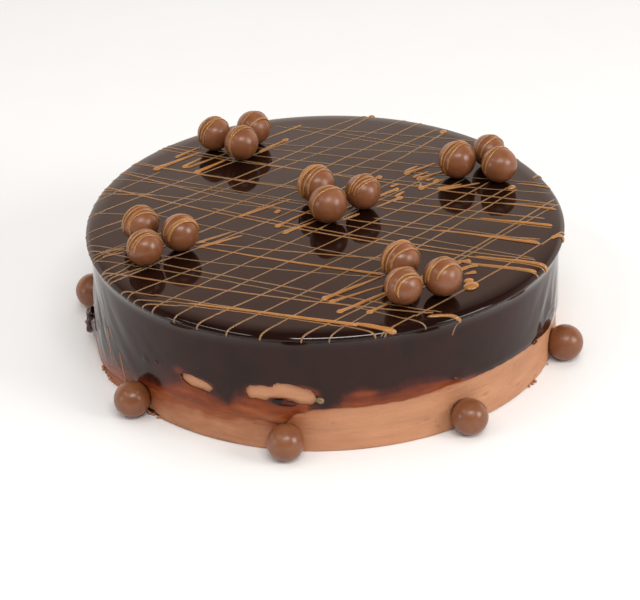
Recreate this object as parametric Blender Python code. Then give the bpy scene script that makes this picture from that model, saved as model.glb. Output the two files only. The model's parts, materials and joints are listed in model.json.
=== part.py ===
"""Chocolate fudge cake, uncut: a round mousse cake under a poured mirror glaze with a lattice of
piped drizzle, five clusters of three chocolate balls on top and a ring of them round its foot.

Metres, +Z up. The origin is the middle of the cake's underside, the front looks along -Y.
"""
import math

import bmesh
import bpy
from mathutils import Matrix, Vector

MM = 0.001

# ---- driving dimensions of the cake ----
CAKE_HEIGHT = 55.5 * MM          # underside to the middle of the glaze's top
TOP_SLOPE = 0.014                # the top rises this much towards the back
RIM_RADIUS = 102.3 * MM          # widest point of the rounded rim
FOOT_RADIUS = 100.6 * MM         # mousse at its foot
SHOULDER_RADIUS = 99.0 * MM      # mousse just under the rim
GLAZE_ON_TOP = 2.0 * MM          # thickness of the glaze on the level top
GLAZE_ON_SIDE = 0.75 * MM        # thickness of the glaze that ran down the side
GLAZE_AT_HEM = 0.35 * MM         # thickness of the glaze where it ends
GAP = 0.3 * MM                   # between pieces that touch

# ---- rim ----
LEVEL_RADIUS = 96.5 * MM         # the top is flat out to here
RIM_ROUND = 1.3 * MM             # radius of the rounded rim
RIM_DROP = 0.1 * MM              # how far the top has sunk where the rounding starts
RIM_ANGLES = (75, 45, 15, -15, -50)
UNDER_RIM_Z = 46.5 * MM          # the rim's bulge ends here, on the side
MOUSSE_EDGE_ROUND = 2.5 * MM     # rounded upper edge of the mousse
ROUND_STEPS = 64                 # facets round the cake

# The outline is not a true circle: each lobe is (count, share of the radius, bearing in degrees).
TOP_LOBES = ((3, 0.006, -17), (4, 0.003, -34))
FOOT_LOBES = ((2, 0.005, 23), (3, 0.005, 45), (4, 0.004, -26))

# The glaze's lower hem: (bearing in degrees, height in millimetres), joined by smooth steps.
# Bearing -90 is the front, 0 the right and 180 the left.
HEM = ((-173, 5), (-160, 4), (-148, 7), (-141, 13), (-133, 14), (-124, 16), (-115, 15), (-106, 15),
       (-101, 13.4), (-97, 18), (-90, 20.5), (-75, 20.5), (-60, 22), (-45, 21.5), (-32, 20.5),
       (-22, 18), (-8, 16), (8, 19), (25, 14), (40, 18), (58, 20), (75, 15), (92, 19), (108, 21),
       (124, 16), (140, 13), (152, 14), (166, 14.5), (175, 14))

# Bare patches where the glaze parted: bearing in degrees, height, half width, half height.
BARE_PATCHES = ((-121.4, 25.6 * MM, 7.4 * MM, 2.9 * MM),
                (-105.5, 26.9 * MM, 6.2 * MM, 3.3 * MM),
                (-97.5, 27.3 * MM, 9.0 * MM, 3.9 * MM))
PATCH_STEPS = 14

# The tables below give places on top in millimetres for a level top. The sloping top takes them
# a little squeezed from front to back and shifted.
PLAN_SQUEEZE = 0.975
PLAN_SHIFT = 1.85 * MM

# ---- chocolate balls: (x, y, radius) on top, three to a cluster ----
TOP_BALLS = ((-48.7, 65.9, 7.7), (-36.2, 55.4, 7.8), (-31.0, 71.2, 7.8),
             (59.2, 30.6, 8.3), (74.0, 41.2, 7.3), (77.3, 25.2, 7.9),
             (-2.8, 9.9, 8.1), (1.9, -9.3, 8.2), (17.0, 2.4, 7.7),
             (-76.7, -22.8, 7.8), (-73.8, -43.7, 7.6), (-59.8, -31.5, 7.9),
             (30.3, -61.4, 8.0), (30.6, -82.3, 7.7), (46.5, -75.9, 7.9))
# bearings in degrees and radii in millimetres of the balls round the foot, front left first
FOOT_BALLS = ((-139.5, 7.6), (-99.5, 7.6), (-57.6, 7.6), (-17.8, 7.8),
              (27.0, 7.7), (73.0, 7.6), (120.0, 7.7), (167.0, 7.9))
BALL_FACETS = (12, 7)            # round and over
BALL_PRESS = 2.0 * MM            # how far a foot ball is pressed into the mousse

# ---- drizzle ----
# Two families of piped lines cross the top. A line's row is its offset from the middle of the
# cake, in millimetres, at three stations of its length (left, middle, right), then where it
# starts and ends, None for over the rim, and its width.
STATION = 70.0
RISING = 41.0                    # heading in degrees, from the front left to the back right
FALLING = -17.0                  # heading in degrees, from the left to the front right
RISING_LINES = (
    (67.6, 66.0, 62.3, None, 84, 1.2), (54.5, 52.4, 57.2, None, 84, 1.3),
    (33.8, 32.2, 35.4, None, None, 1.3), (22.6, 22.9, 25.3, None, 94, 1.3),
    (12.6, 10.4, 17.2, None, 94, 1.3), (-13.4, -9.8, -6.0, None, 60, 1.2),
    (-25.0, -22.1, -19.2, None, 66, 1.2), (-37.4, -35.3, -29.2, None, 72, 1.3),
    (-48.5, -45.2, -38.9, None, 75, 1.3), (-59.4, -52.4, -43.2, None, 75, 1.3),
    (-73.5, -70.3, -61.9, None, 80, 1.3), (-93.4, -90.4, -80.6, None, None, 1.3))
FALLING_LINES = (
    (-84.2, -89.8, -90.5, None, 55, 1.3), (-95.3, -91.9, -97.0, None, None, 1.3),
    (-73.4, -76.8, -74.3, None, None, 1.5), (-58.9, -67.4, -73.0, None, 73, 1.3),
    (-39.5, -46.9, -47.8, -44, 40, 2.3), (-38.5, -38.0, -30.0, -44, 42, 1.4),
    (-6.3, -18.4, -24.9, None, None, 1.5), (-3.3, -15.6, -20.9, -48, 95, 1.4),
    (8.6, -3.2, -4.7, None, 95, 1.4), (9.0, 9.6, 8.9, 22, 97, 1.4),
    (23.3, 17.8, 16.0, None, 93, 1.4), (43.5, 35.7, 31.3, None, 95, 1.4))
# Heavy stretches where passes ran together: rows as above, all in the falling family.
HEAVY_LINES = ((-90.0, -90.3, -91.5, -14, 56, 3.0), (-8.0, -4.6, -5.4, 66, 95, 2.4),
               (10.0, 10.0, 10.2, 84, 97, 2.2), (-24.0, -24.0, -24.0, 88, None, 2.6),
               (-31.0, -31.0, -30.6, 80, 98, 1.8))
# Short passes piped over each cluster, in the rising family: offset and place of the left end,
# offset and place of the right end, width.
CLUSTER_PASSES = (
    (82.5, -26, 87.0, 10, 3.0), (87.5, -12, 88.5, 4, 2.4), (75.5, -15, 74.0, 52, 1.9),
    (66.8, -13, 64.2, 35, 2.9),
    (22.0, -29, 19.0, -2, 2.2), (3.6, -23, 8.3, 41, 2.0), (-3.0, -26, -6.0, 38, 2.3),
    (-10.5, -12, -13.2, 33, 2.1),
    (2.4, 50, 1.0, 68, 2.6), (-5.0, 50, -9.0, 72, 2.2), (-12.6, 45, -14.0, 72, 2.1),
    (-19.5, 50, -27.0, 68, 2.3),
    (-57.4, -51, -60.0, -20, 2.8), (-61.4, -51, -66.0, -26, 2.1), (-69.5, -54, -73.7, 12, 2.3),
    (-78.0, -46, -78.6, 12, 2.2),
    (36.8, -92, 33.0, -82, 1.8), (33.4, -93, 30.0, -84, 1.8), (15.5, -58, 13.2, -40, 2.0),
    (12.0, -60, 7.6, -39, 2.2))
# Drops where the bag paused or turned: (along, offset, radius), in the rising family.
DROPS = ((-25, 82.5, 2.1), (-14.5, 75.6, 1.9), (-12, 66.8, 2.2), (34, 64.2, 2.0),
         (-22.5, 3.7, 2.0), (-24, -3, 1.9), (-14, 14, 1.9), (40, 8.2, 1.9), (37, -6, 1.7),
         (32.5, -13.2, 1.8), (52, 2.4, 2.1), (52.5, -5.2, 2.0), (46, -12.8, 1.9),
         (55.5, -12.4, 1.9), (74.5, -39.8, 2.3), (82.5, 59, 1.9), (94, 22.5, 2.0),
         (-50, -57.4, 2.1), (-50, -61.4, 1.9), (-53, -69.5, 1.9), (-45, -78, 1.9),
         (11, -73.7, 2.1), (11.5, -78.6, 2.0), (6, -82.2, 1.8), (-2, -89.8, 3.3), (0.5, -86.5, 2.6))
TURN_RADIUS = 103.6 * MM         # from here, unrolled, a line over the rim runs down
OVER_RIM = 2.4 * MM              # and hangs this far past the rim's radius
FLAT_STEP = 16.0 * MM            # spacing of a line's points on the level top
RIM_STEP = 2.6 * MM              # and on the rim
SINK = 0.45 * MM                 # how deep the drizzle is set into the glaze
LINE_HEIGHT_SHARE = 0.5          # height of a line as a share of its width
LINE_CLEARANCE = 5.2 * MM        # a line stops this far from the foot of a ball
PASS_CLEARANCE = 9.0 * MM        # a pass over a cluster leaves the glaze this far from it

# ---- colours (linear) and roughness ----
FINISHES = {"mousse": ((0.56, 0.26, 0.14), 0.65),
            "glaze": ((0.030, 0.014, 0.011), 0.08),
            "ball": ((0.23, 0.085, 0.042), 0.35)}


def finish(name):
    """The Principled material of one of the FINISHES, made once."""
    material = bpy.data.materials.get(name)
    if material:
        return material
    colour, roughness = FINISHES[name]
    material = bpy.data.materials.new(name)
    material.use_nodes = True
    shader = material.node_tree.nodes["Principled BSDF"]
    shader.inputs["Base Color"].default_value = (*colour, 1)
    shader.inputs["Roughness"].default_value = roughness
    return material


def add_object(name, bm, material=None, collection=None):
    """A named object from a finished bmesh, which is freed."""
    bmesh.ops.recalc_face_normals(bm, faces=bm.faces)
    mesh = bpy.data.meshes.new(name)
    bm.to_mesh(mesh)
    bm.free()
    piece = bpy.data.objects.new(name, mesh)
    (collection or bpy.context.scene.collection).objects.link(piece)
    if material:
        mesh.materials.append(material)
    return piece


# ---- the cake's outline and profile ----

def lobe_factor(lobes, bearing):
    """How far the outline stands off its circle at a bearing, as a factor."""
    return 1 + sum(share * math.cos(count * (bearing - math.radians(at)))
                   for count, share, at in lobes)


def outline_factor(bearing, z):
    """The uneven outline, from the foot's lobes to the rim's."""
    up = min(max(z / CAKE_HEIGHT, 0), 1)
    return (1 - up) * lobe_factor(FOOT_LOBES, bearing) + up * lobe_factor(TOP_LOBES, bearing)


def around(radius, z, bearing):
    """A point of the cake's surface, set on the uneven outline and leaned with the top's slope."""
    reach = radius * outline_factor(bearing, z)
    y = reach * math.sin(bearing)
    return Vector((reach * math.cos(bearing), y, z * (1 + TOP_SLOPE * y / CAKE_HEIGHT)))


def mousse_radius(z):
    """The mousse leans in a little from its foot to its shoulder."""
    return FOOT_RADIUS + (SHOULDER_RADIUS - FOOT_RADIUS) * z / UNDER_RIM_Z


def rim_profile():
    """(radius, z) points from the edge of the level top, round the rim, to the side under it."""
    middle_r = RIM_RADIUS - RIM_ROUND
    middle_z = CAKE_HEIGHT - RIM_DROP - RIM_ROUND
    points = [(LEVEL_RADIUS, CAKE_HEIGHT), (99.5 * MM, CAKE_HEIGHT - RIM_DROP / 2)]
    for angle in RIM_ANGLES:
        turn = math.radians(angle)
        points.append((middle_r + RIM_ROUND * math.cos(turn), middle_z + RIM_ROUND * math.sin(turn)))
    points.append((mousse_radius(UNDER_RIM_Z) + GAP + GLAZE_ON_SIDE, UNDER_RIM_Z))
    return points


RIM_PROFILE = rim_profile()


def glaze_point(x, y):
    """Point and outward normal of the glaze for a place in plan, where the plan is unrolled over
    the rim: what lies past the level top goes on along the rim's profile."""
    bearing = math.atan2(y, x)
    left = math.hypot(x, y) - LEVEL_RADIUS
    if left <= 0:
        return Vector((x, y, CAKE_HEIGHT + TOP_SLOPE * y)), Vector((0, 0, 1))
    for (r0, z0), (r1, z1) in zip(RIM_PROFILE, RIM_PROFILE[1:]):
        length = math.hypot(r1 - r0, z1 - z0)
        if left <= length:
            break
        left -= length
    share = min(left / length, 1)
    place = around(r0 + (r1 - r0) * share, z0 + (z1 - z0) * share, bearing)
    out, up = (z0 - z1) / length, (r1 - r0) / length
    return place, Vector((out * math.cos(bearing), out * math.sin(bearing), up))


def hem_height(bearing):
    """Height of the glaze's lower hem at a bearing in radians."""
    degrees = math.degrees(bearing)
    rows = [(at + turn, height) for turn in (-360, 0, 360) for at, height in HEM]
    rows.sort()
    for (a0, h0), (a1, h1) in zip(rows, rows[1:]):
        if a0 <= degrees <= a1:
            share = (degrees - a0) / (a1 - a0)
            smooth = share * share * (3 - 2 * share)
            return (h0 + (h1 - h0) * smooth) * MM
    return HEM[0][1] * MM


def turned_solid(rings):
    """A closed body from rings of (radius, z) functions of the bearing, its two ends capped."""
    bearings = [2 * math.pi * i / ROUND_STEPS - math.pi for i in range(ROUND_STEPS)]
    bm = bmesh.new()
    loops = []
    for ring in rings:
        loops.append([bm.verts.new(around(*ring(bearing), bearing)) for bearing in bearings])
    for lower, upper in zip(loops, loops[1:]):
        for i in range(ROUND_STEPS):
            j = (i + 1) % ROUND_STEPS
            bm.faces.new((lower[i], lower[j], upper[j], upper[i]))
    bm.faces.new(loops[0])
    bm.faces.new(loops[-1])
    return bm


def level(radius, z):
    """A ring at one radius and height all round."""
    return lambda bearing: (radius, z)


# ---- pieces ----

def make_mousse():
    """The solid mousse cake: a flat underside, a soft foot and a rounded upper edge."""
    top = CAKE_HEIGHT - GLAZE_ON_TOP - GAP
    edge = top - MOUSSE_EDGE_ROUND
    rings = [level(FOOT_RADIUS - 0.9 * MM, 0), level(FOOT_RADIUS, 1.0 * MM),
             level(mousse_radius(UNDER_RIM_Z), UNDER_RIM_Z)]
    for angle in (0, 45, 90):
        turn = math.radians(angle)
        rings.append(level(SHOULDER_RADIUS - MOUSSE_EDGE_ROUND * (1 - math.cos(turn)),
                           edge + MOUSSE_EDGE_ROUND * math.sin(turn)))
    return add_object("mousse_cake", turned_solid(rings), finish("mousse"))


def make_glaze():
    """The poured glaze: a skin over the top and the upper side, with a bulging rim."""
    under = CAKE_HEIGHT - GLAZE_ON_TOP
    rings = [level(*point) for point in RIM_PROFILE]
    rings.append(lambda b: (mousse_radius(hem_height(b)) + GAP + GLAZE_ON_SIDE,
                            hem_height(b) + 2.2 * MM))
    rings.append(lambda b: (mousse_radius(hem_height(b)) + GAP + GLAZE_AT_HEM, hem_height(b)))
    rings.append(lambda b: (mousse_radius(hem_height(b)) + GAP, hem_height(b) + 0.1 * MM))
    rings.append(level(mousse_radius(UNDER_RIM_Z) + GAP, UNDER_RIM_Z))
    for angle in (0, 45, 90):
        turn = math.radians(angle)
        rings.append(level(SHOULDER_RADIUS + GAP - MOUSSE_EDGE_ROUND * (1 - math.cos(turn)),
                           under - MOUSSE_EDGE_ROUND * (1 - math.sin(turn))))
    return add_object("chocolate_glaze", turned_solid(rings), finish("glaze"))


def make_patch_cutter(patch, collection):
    """A short rounded plug, square to the side, that opens one bare patch in the glaze."""
    bearing, z, half_width, half_height = patch
    bm = bmesh.new()
    bmesh.ops.create_cone(bm, cap_ends=True, segments=PATCH_STEPS, radius1=1, radius2=1, depth=1)
    squash = Matrix.Diagonal((half_height, half_width, 8 * MM, 1))
    stand = Matrix.Rotation(math.radians(90), 4, "Y")
    turn = Matrix.Rotation(math.radians(bearing), 4, "Z")
    place = around(mousse_radius(z), z, math.radians(bearing)) + turn @ Vector((4 * MM + GAP / 2, 0, 0))
    bmesh.ops.transform(bm, matrix=Matrix.Translation(place) @ turn @ stand @ squash, verts=bm.verts)
    return add_object("patch_cutter", bm, collection=collection)


def on_top(x, y):
    """Place in plan, in metres, of a table's millimetres, fitted to the sloping top."""
    return x * MM, y * PLAN_SQUEEZE * MM + PLAN_SHIFT


def family_place(heading, along, offset):
    """Place in plan, in metres, from millimetres along and across a family of lines."""
    turn = math.radians(heading)
    x = along * math.cos(turn) - offset * math.sin(turn)
    y = along * math.sin(turn) + offset * math.cos(turn)
    return on_top(x, y)


def overhang(place):
    """Closely spaced places from where a line meets the rim, straight out and over it."""
    start = math.hypot(*place)
    count = int((RIM_RADIUS + OVER_RIM - start) / MM)
    return [(place[0] * (1 + i * MM / start), place[1] * (1 + i * MM / start))
            for i in range(1, count + 1)]


def line_route(heading, row):
    """Closely spaced places in plan of one line, within its ends or over the rim."""
    left, middle, right, start, end, _ = row
    reach = int(RIM_RADIUS / MM)
    first = -reach if start is None else start
    last = reach if end is None else end
    route = []
    for along in range(first, last + 1):
        u = along / STATION
        offset = middle + (right - left) / 2 * u + ((left + right) / 2 - middle) * u * u
        x, y = family_place(heading, along, offset)
        if math.hypot(x, y) <= TURN_RADIUS:
            route.append((x, y))
    if start is None:
        route = overhang(route[0])[::-1] + route
    if end is None:
        route = route + overhang(route[-1])
    return route


def pass_route(row):
    """Closely spaced places in plan of one short pass over a cluster."""
    left, start, right, end, _ = row
    count = end - start
    return [family_place(RISING, start + i, left + (right - left) * i / count)
            for i in range(count + 1)]


def clear_runs(route, clearance):
    """The stretches of a route that keep clear of every ball's foot, thinned to few points."""
    runs, run = [], []
    feet = [on_top(x, y) for x, y, _ in TOP_BALLS]
    for place in route:
        near = any(math.dist(place, foot) < clearance for foot in feet)
        if near:
            runs.append(run)
            run = []
        else:
            run.append(place)
    runs.append(run)
    return [thinned(run) for run in runs if len(run) > 4]


def thinned(run):
    """A route's ends, with points between at the flat or the rim spacing."""
    kept = [run[0]]
    for place in run[1:-1]:
        step = RIM_STEP if math.hypot(*place) > TURN_RADIUS - RIM_STEP else FLAT_STEP
        if math.dist(kept[-1], place) >= step and math.dist(place, run[-1]) >= step / 2:
            kept.append(place)
    return kept + [run[-1]]


def make_line(run, width, shoulders, collection):
    """One ridge of drizzle along a run, set into the glaze. A thin line has a pointed section,
    a heavy one has shoulders. Its ends taper."""
    height = LINE_HEIGHT_SHARE * width
    section = [(-0.5 * width, -SINK), (0.5 * width, -SINK)]
    section += [(0.28 * width, height), (-0.28 * width, height)] if shoulders else [(0, height)]
    points = [glaze_point(x, y) for x, y in run]
    bm = bmesh.new()
    loops = []
    for i, (place, normal) in enumerate(points):
        ahead = points[min(i + 1, len(points) - 1)][0] - points[max(i - 1, 0)][0]
        across = ahead.cross(normal).normalized()
        taper = 0.6 if i in (0, len(points) - 1) else 1
        loops.append([bm.verts.new(place + across * a * taper + normal * (up * taper if up > 0 else up))
                      for a, up in section])
    sides = len(section)
    for near, far in zip(loops, loops[1:]):
        for i in range(sides):
            j = (i + 1) % sides
            bm.faces.new((near[i], near[j], far[j], far[i]))
    bm.faces.new(loops[0])
    bm.faces.new(loops[-1])
    return add_object("line", bm, collection=collection)


def make_drop(row, collection):
    """A low round drop of drizzle, half set into the glaze."""
    along, offset, radius = row
    place, _ = glaze_point(*family_place(RISING, along, offset))
    lift = max(0.0, 0.6 * radius * MM - (GLAZE_ON_TOP - 0.6 * MM))
    bm = bmesh.new()
    bmesh.ops.create_uvsphere(bm, u_segments=8, v_segments=4, radius=radius * MM)
    flatten = Matrix.Diagonal((1.0, 0.9, 0.6, 1.0))
    bmesh.ops.transform(bm, matrix=Matrix.Translation(place + Vector((0, 0, lift))) @ flatten,
                        verts=bm.verts)
    return add_object("drop", bm, collection=collection)


def make_drizzle(collection):
    """All the drizzle that is heavy enough to be part of the glaze's solid."""
    for heading, rows in ((RISING, RISING_LINES), (FALLING, FALLING_LINES)):
        for row in rows:
            for run in clear_runs(line_route(heading, row), LINE_CLEARANCE):
                make_line(run, row[-1] * MM, False, collection)
    for row in HEAVY_LINES:
        for run in clear_runs(line_route(FALLING, row), LINE_CLEARANCE):
            make_line(run, row[-1] * MM, True, collection)
    for row in CLUSTER_PASSES:
        for run in clear_runs(pass_route(row), PASS_CLEARANCE):
            make_line(run, row[-1] * MM, True, collection)
    for row in DROPS:
        make_drop(row, collection)


def apply_boolean(piece, collection, operation, solver):
    """Join or cut a piece with a whole collection, then remove the collection's objects."""
    boolean = piece.modifiers.new(operation.lower(), "BOOLEAN")
    boolean.operand_type = "COLLECTION"
    boolean.collection = collection
    boolean.operation = operation
    boolean.solver = solver
    graph = bpy.context.evaluated_depsgraph_get()
    mesh = bpy.data.meshes.new_from_object(piece.evaluated_get(graph))
    piece.modifiers.clear()
    old = piece.data
    piece.data = mesh
    bpy.data.meshes.remove(old)
    for other in list(collection.objects):
        bpy.data.objects.remove(other)
    bpy.data.collections.remove(collection)
    mesh.name = piece.name


def helper_collection(name):
    """A collection for shapes that are joined to a piece or cut from it."""
    collection = bpy.data.collections.new(name)
    bpy.context.scene.collection.children.link(collection)
    return collection


def make_ball(name, place, radius):
    """One chocolate ball, with its origin at its centre."""
    bm = bmesh.new()
    bmesh.ops.create_uvsphere(bm, u_segments=BALL_FACETS[0], v_segments=BALL_FACETS[1], radius=radius)
    ball = add_object(name, bm, finish("ball"))
    ball.location = place
    ball.data.shade_smooth()
    return ball


def foot_ball_place(degrees, radius):
    """Centre of a ball that stands beside the cake and is pressed a little into its foot."""
    bearing = math.radians(degrees)
    z = radius * MM
    side = around(FOOT_RADIUS, z, bearing)
    reach = math.hypot(side.x, side.y) + radius * MM - BALL_PRESS
    return reach * math.cos(bearing), reach * math.sin(bearing), z


def make_dent_cutter(row, collection):
    """A sphere one gap larger than a foot ball, for the dent it leaves in the mousse."""
    degrees, radius = row
    bm = bmesh.new()
    bmesh.ops.create_uvsphere(bm, u_segments=BALL_FACETS[0], v_segments=BALL_FACETS[1],
                              radius=radius * MM + GAP)
    place = foot_ball_place(degrees, radius)
    bmesh.ops.transform(bm, matrix=Matrix.Translation(place), verts=bm.verts)
    return add_object("dent_cutter", bm, collection=collection)


def make_balls():
    """The clusters on top, then the ring that stands against the foot of the cake."""
    for number, (x, y, radius) in enumerate(TOP_BALLS, 1):
        foot, _ = glaze_point(*on_top(x, y))
        make_ball(f"top_ball_{number:02d}", foot + Vector((0, 0, GAP + radius * MM)), radius * MM)
    for number, (degrees, radius) in enumerate(FOOT_BALLS, 1):
        make_ball(f"foot_ball_{number:02d}", foot_ball_place(degrees, radius), radius * MM)


def main():
    for other in list(bpy.data.objects):
        bpy.data.objects.remove(other)
    mousse = make_mousse()
    dents = helper_collection("dents")
    for row in FOOT_BALLS:
        make_dent_cutter(row, dents)
    apply_boolean(mousse, dents, "DIFFERENCE", "EXACT")
    glaze = make_glaze()
    patches = helper_collection("patches")
    for patch in BARE_PATCHES:
        make_patch_cutter(patch, patches)
    apply_boolean(glaze, patches, "DIFFERENCE", "EXACT")
    drizzle = helper_collection("drizzle")
    make_drizzle(drizzle)
    apply_boolean(glaze, drizzle, "UNION", "MANIFOLD")
    glaze.data.set_sharp_from_angle(angle=math.radians(40))
    make_balls()


main()
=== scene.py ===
"""Chocolate fudge cake, the dressed model: a mousse cake under a poured mirror glaze, piped caramel
drizzle on top and over five clusters of chocolate balls, and a ring of balls round its foot.

Metres, +Z up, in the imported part's frame. The front looks along -Y.
"""

import bisect
import json
import math
import random

import bmesh
import bpy
from bpy.props import FloatProperty, FloatVectorProperty, IntProperty, PointerProperty
from mathutils import Matrix, Vector, noise

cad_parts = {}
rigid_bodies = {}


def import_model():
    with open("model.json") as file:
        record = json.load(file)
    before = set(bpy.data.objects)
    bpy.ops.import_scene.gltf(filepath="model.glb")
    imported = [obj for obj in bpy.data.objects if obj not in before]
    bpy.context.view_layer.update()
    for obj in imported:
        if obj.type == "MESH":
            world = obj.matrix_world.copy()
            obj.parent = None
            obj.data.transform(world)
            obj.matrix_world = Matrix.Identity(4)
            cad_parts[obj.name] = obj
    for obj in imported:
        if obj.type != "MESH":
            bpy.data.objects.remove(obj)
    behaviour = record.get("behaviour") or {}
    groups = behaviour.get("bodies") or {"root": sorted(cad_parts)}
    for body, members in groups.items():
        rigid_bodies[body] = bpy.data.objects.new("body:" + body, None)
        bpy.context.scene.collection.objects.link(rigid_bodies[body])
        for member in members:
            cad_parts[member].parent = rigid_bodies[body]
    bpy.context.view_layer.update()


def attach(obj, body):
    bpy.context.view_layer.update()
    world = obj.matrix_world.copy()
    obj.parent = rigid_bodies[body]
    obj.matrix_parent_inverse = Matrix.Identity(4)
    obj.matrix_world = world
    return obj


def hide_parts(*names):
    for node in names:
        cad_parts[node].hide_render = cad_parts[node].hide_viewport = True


bl_info = {
    "name": "Glazed chocolate cake",
    "version": (1, 0, 0),
    "blender": (4, 5, 0),
    "location": "3D View > Sidebar > Cake",
    "description": "Builds a glazed chocolate cake with drizzle and chocolate balls, piece by piece",
    "category": "Object",
}

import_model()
MM = 0.001

# ---- the cake's form, as in the part's source ----
CAKE_HEIGHT = 55.5 * MM          # underside to the middle of the glaze's top
TOP_SLOPE = 0.014                # the top rises this much towards the back
RIM_RADIUS = 102.3 * MM
FOOT_RADIUS = 100.6 * MM
SHOULDER_RADIUS = 99.0 * MM      # of the mousse under the rim
UNDER_RIM_Z = 46.5 * MM
MOUSSE_EDGE_ROUND = 2.5 * MM
GAP = 0.3 * MM                   # between pieces that touch
GLAZE_SKIN = 0.75 * MM           # thickness of the glaze on the side
ON_SKIN = 0.7 * MM               # what lies on the side's glaze is centred this far out
# Lobes of the outline at the top and at the foot: (count, size as a share, bearing in degrees).
TOP_LOBES = ((3, 0.006, -17), (4, 0.003, -34))
FOOT_LOBES = ((2, 0.005, 23), (3, 0.005, 45), (4, 0.004, -26))

# Lower hem of the glaze: (bearing in degrees, height in mm); -90 is the front, 0 the right.
HEM = ((-173, 5), (-160, 4), (-148, 7), (-141, 13), (-133, 14), (-124, 16), (-115, 15), (-106, 15),
       (-101, 13.4), (-97, 18.6), (-93.5, 20.4), (-90, 20.7), (-75, 20.5), (-60, 22), (-45, 21.5),
       (-32, 20.5), (-22, 18), (-8, 16), (8, 19), (25, 14), (40, 18), (58, 20), (75, 15), (92, 19),
       (108, 21), (124, 16), (140, 13), (152, 14), (166, 14.5), (175, 14))
# Bare patches in the glaze: bearing in degrees, height, half width and half height in mm.
BARE_PATCHES = ((-121.4, 25.6, 7.4, 2.6), (-105.5, 26.9, 6.2, 3.3), (-97.5, 27.3, 9.0, 3.9))

# Places on top are given in mm for a level top and fitted to the sloping one.
PLAN_SQUEEZE = 0.975
PLAN_SHIFT = 1.85 * MM

# Chocolate balls: (x, y, radius) in mm on top, (bearing in degrees, radius in mm) round the foot.
TOP_BALLS = ((-48.7, 65.9, 7.7), (-36.2, 55.4, 7.8), (-31.0, 71.2, 7.8),
             (59.2, 30.6, 8.3), (74.0, 41.2, 7.3), (77.3, 25.2, 7.9),
             (-2.8, 9.9, 8.1), (1.9, -9.3, 8.2), (17.0, 2.4, 7.7),
             (-76.7, -22.8, 7.8), (-73.8, -43.7, 7.6), (-59.8, -31.5, 7.9),
             (30.3, -61.4, 8.0), (30.6, -82.3, 7.7), (46.5, -75.9, 7.9))
FOOT_BALLS = ((-139.5, 7.6), (-99.5, 7.6), (-57.6, 7.6), (-17.8, 7.8),
              (27.0, 7.7), (73.0, 7.6), (120.0, 7.7), (167.0, 7.9))
BALL_PRESS = 2.0 * MM            # how far a foot ball is pressed into the mousse

# Height above which the glaze on the side is fully dark, and how thin it is at its hem:
# (bearing in degrees, height in mm, thinness from 0 to 1).
DARK_FROM = ((-176, 20, 0.75), (-165, 17, 0.75), (-158, 15, 0.8), (-150, 19, 0.85), (-142, 21, 0.6),
             (-134, 23.5, 0.75), (-129, 28, 0.95), (-125, 32, 1.0), (-120, 30.5, 1.0),
             (-117, 25.5, 1.0), (-113.5, 21.5, 1.0), (-111, 29, 1.0), (-107, 32.5, 1.0),
             (-99, 33, 1.0), (-95.5, 31, 1.0), (-93.4, 25, 0.35), (-90.5, 21.5, 0.1), (-88.2, 24, 0.5),
             (-86.5, 29.5, 0.7), (-82, 31.8, 0.75), (-78, 28.5, 0.72), (-75, 29.5, 0.8),
             (-72, 32, 0.75), (-67, 31, 0.8), (-63, 28, 0.9), (-59.5, 25, 0.9), (-56, 24.5, 0.7),
             (-50, 23.5, 0.1), (-30, 21, 0.15), (-8, 18, 0.3), (8, 25, 0.7), (25, 22, 0.8),
             (40, 20, 0.3), (58, 26, 0.8), (75, 22, 0.8), (92, 21, 0.3), (108, 27, 0.8),
             (124, 24, 0.9), (140, 16, 0.4), (152, 18, 0.7), (166, 24, 0.9))
# Smaller marks on it: (bearing in degrees, height in mm, half width in degrees, half height in mm,
# thinness it goes to, strength).
STAIN_MARKS = ((-100.4, 23.6, 3.4, 1.7, 0.38, 0.95), (-97.6, 18.5, 2.5, 5.0, 0.62, 0.95),
               # The mark at -178 makes the glaze fully dark at the clump on the left: partly dark glaze,
               # partly painted shade and reflection of the foot ball beside it.
               (-178.0, 10.0, 7.0, 9.0, 0.0, 1.0), (-136.0, 21.5, 6.0, 4.5, 0.05, 0.95),
               (-131.0, 25.0, 5.0, 4.5, 0.25, 0.7), (-121.5, 17.0, 8.0, 2.6, 0.55, 0.7),
               (-112.0, 16.5, 8.0, 1.8, 0.78, 0.8), (-82.0, 26.5, 3.6, 1.5, 0.8, 0.8),
               (-63.0, 22.0, 4.0, 1.3, 0.75, 0.9), (-126.5, 29.0, 1.6, 2.2, 0.6, 0.9))
# Lumps on the side: (bearing in degrees, height in mm, radius in mm, how far it stands out in mm).
# The first lump swells that clump on the left, which is partly glaze and partly painted shade and
# reflection of the foot ball beside it.
SIDE_LUMPS = ((-176.0, 9.0, 5.5, 2.2), (-137.0, 27.0, 1.5, 0.4),
              (-104.0, 34.0, 1.0, 0.35), (-58.0, 24.5, 3.0, 0.5), (-20.0, 26.0, 5.0, 0.8),
              (70.0, 17.0, 6.0, 0.9), (150.0, 14.0, 5.0, 0.8))
# Where the mousse is torn away at its foot: (bearing, half width in degrees, height and depth, mm).
FOOT_TEARS = ((-136.5, 2.6, 2.4, 3.4), (-126.0, 4.5, 0.7, 1.2), (-116.0, 6.0, 0.5, 1.0),
              (-20.0, 3.0, 1.2, 2.0), (35.0, 4.0, 1.6, 2.4), (100.0, 5.0, 1.2, 2.0),
              (155.0, 3.0, 2.0, 2.6))
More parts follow.
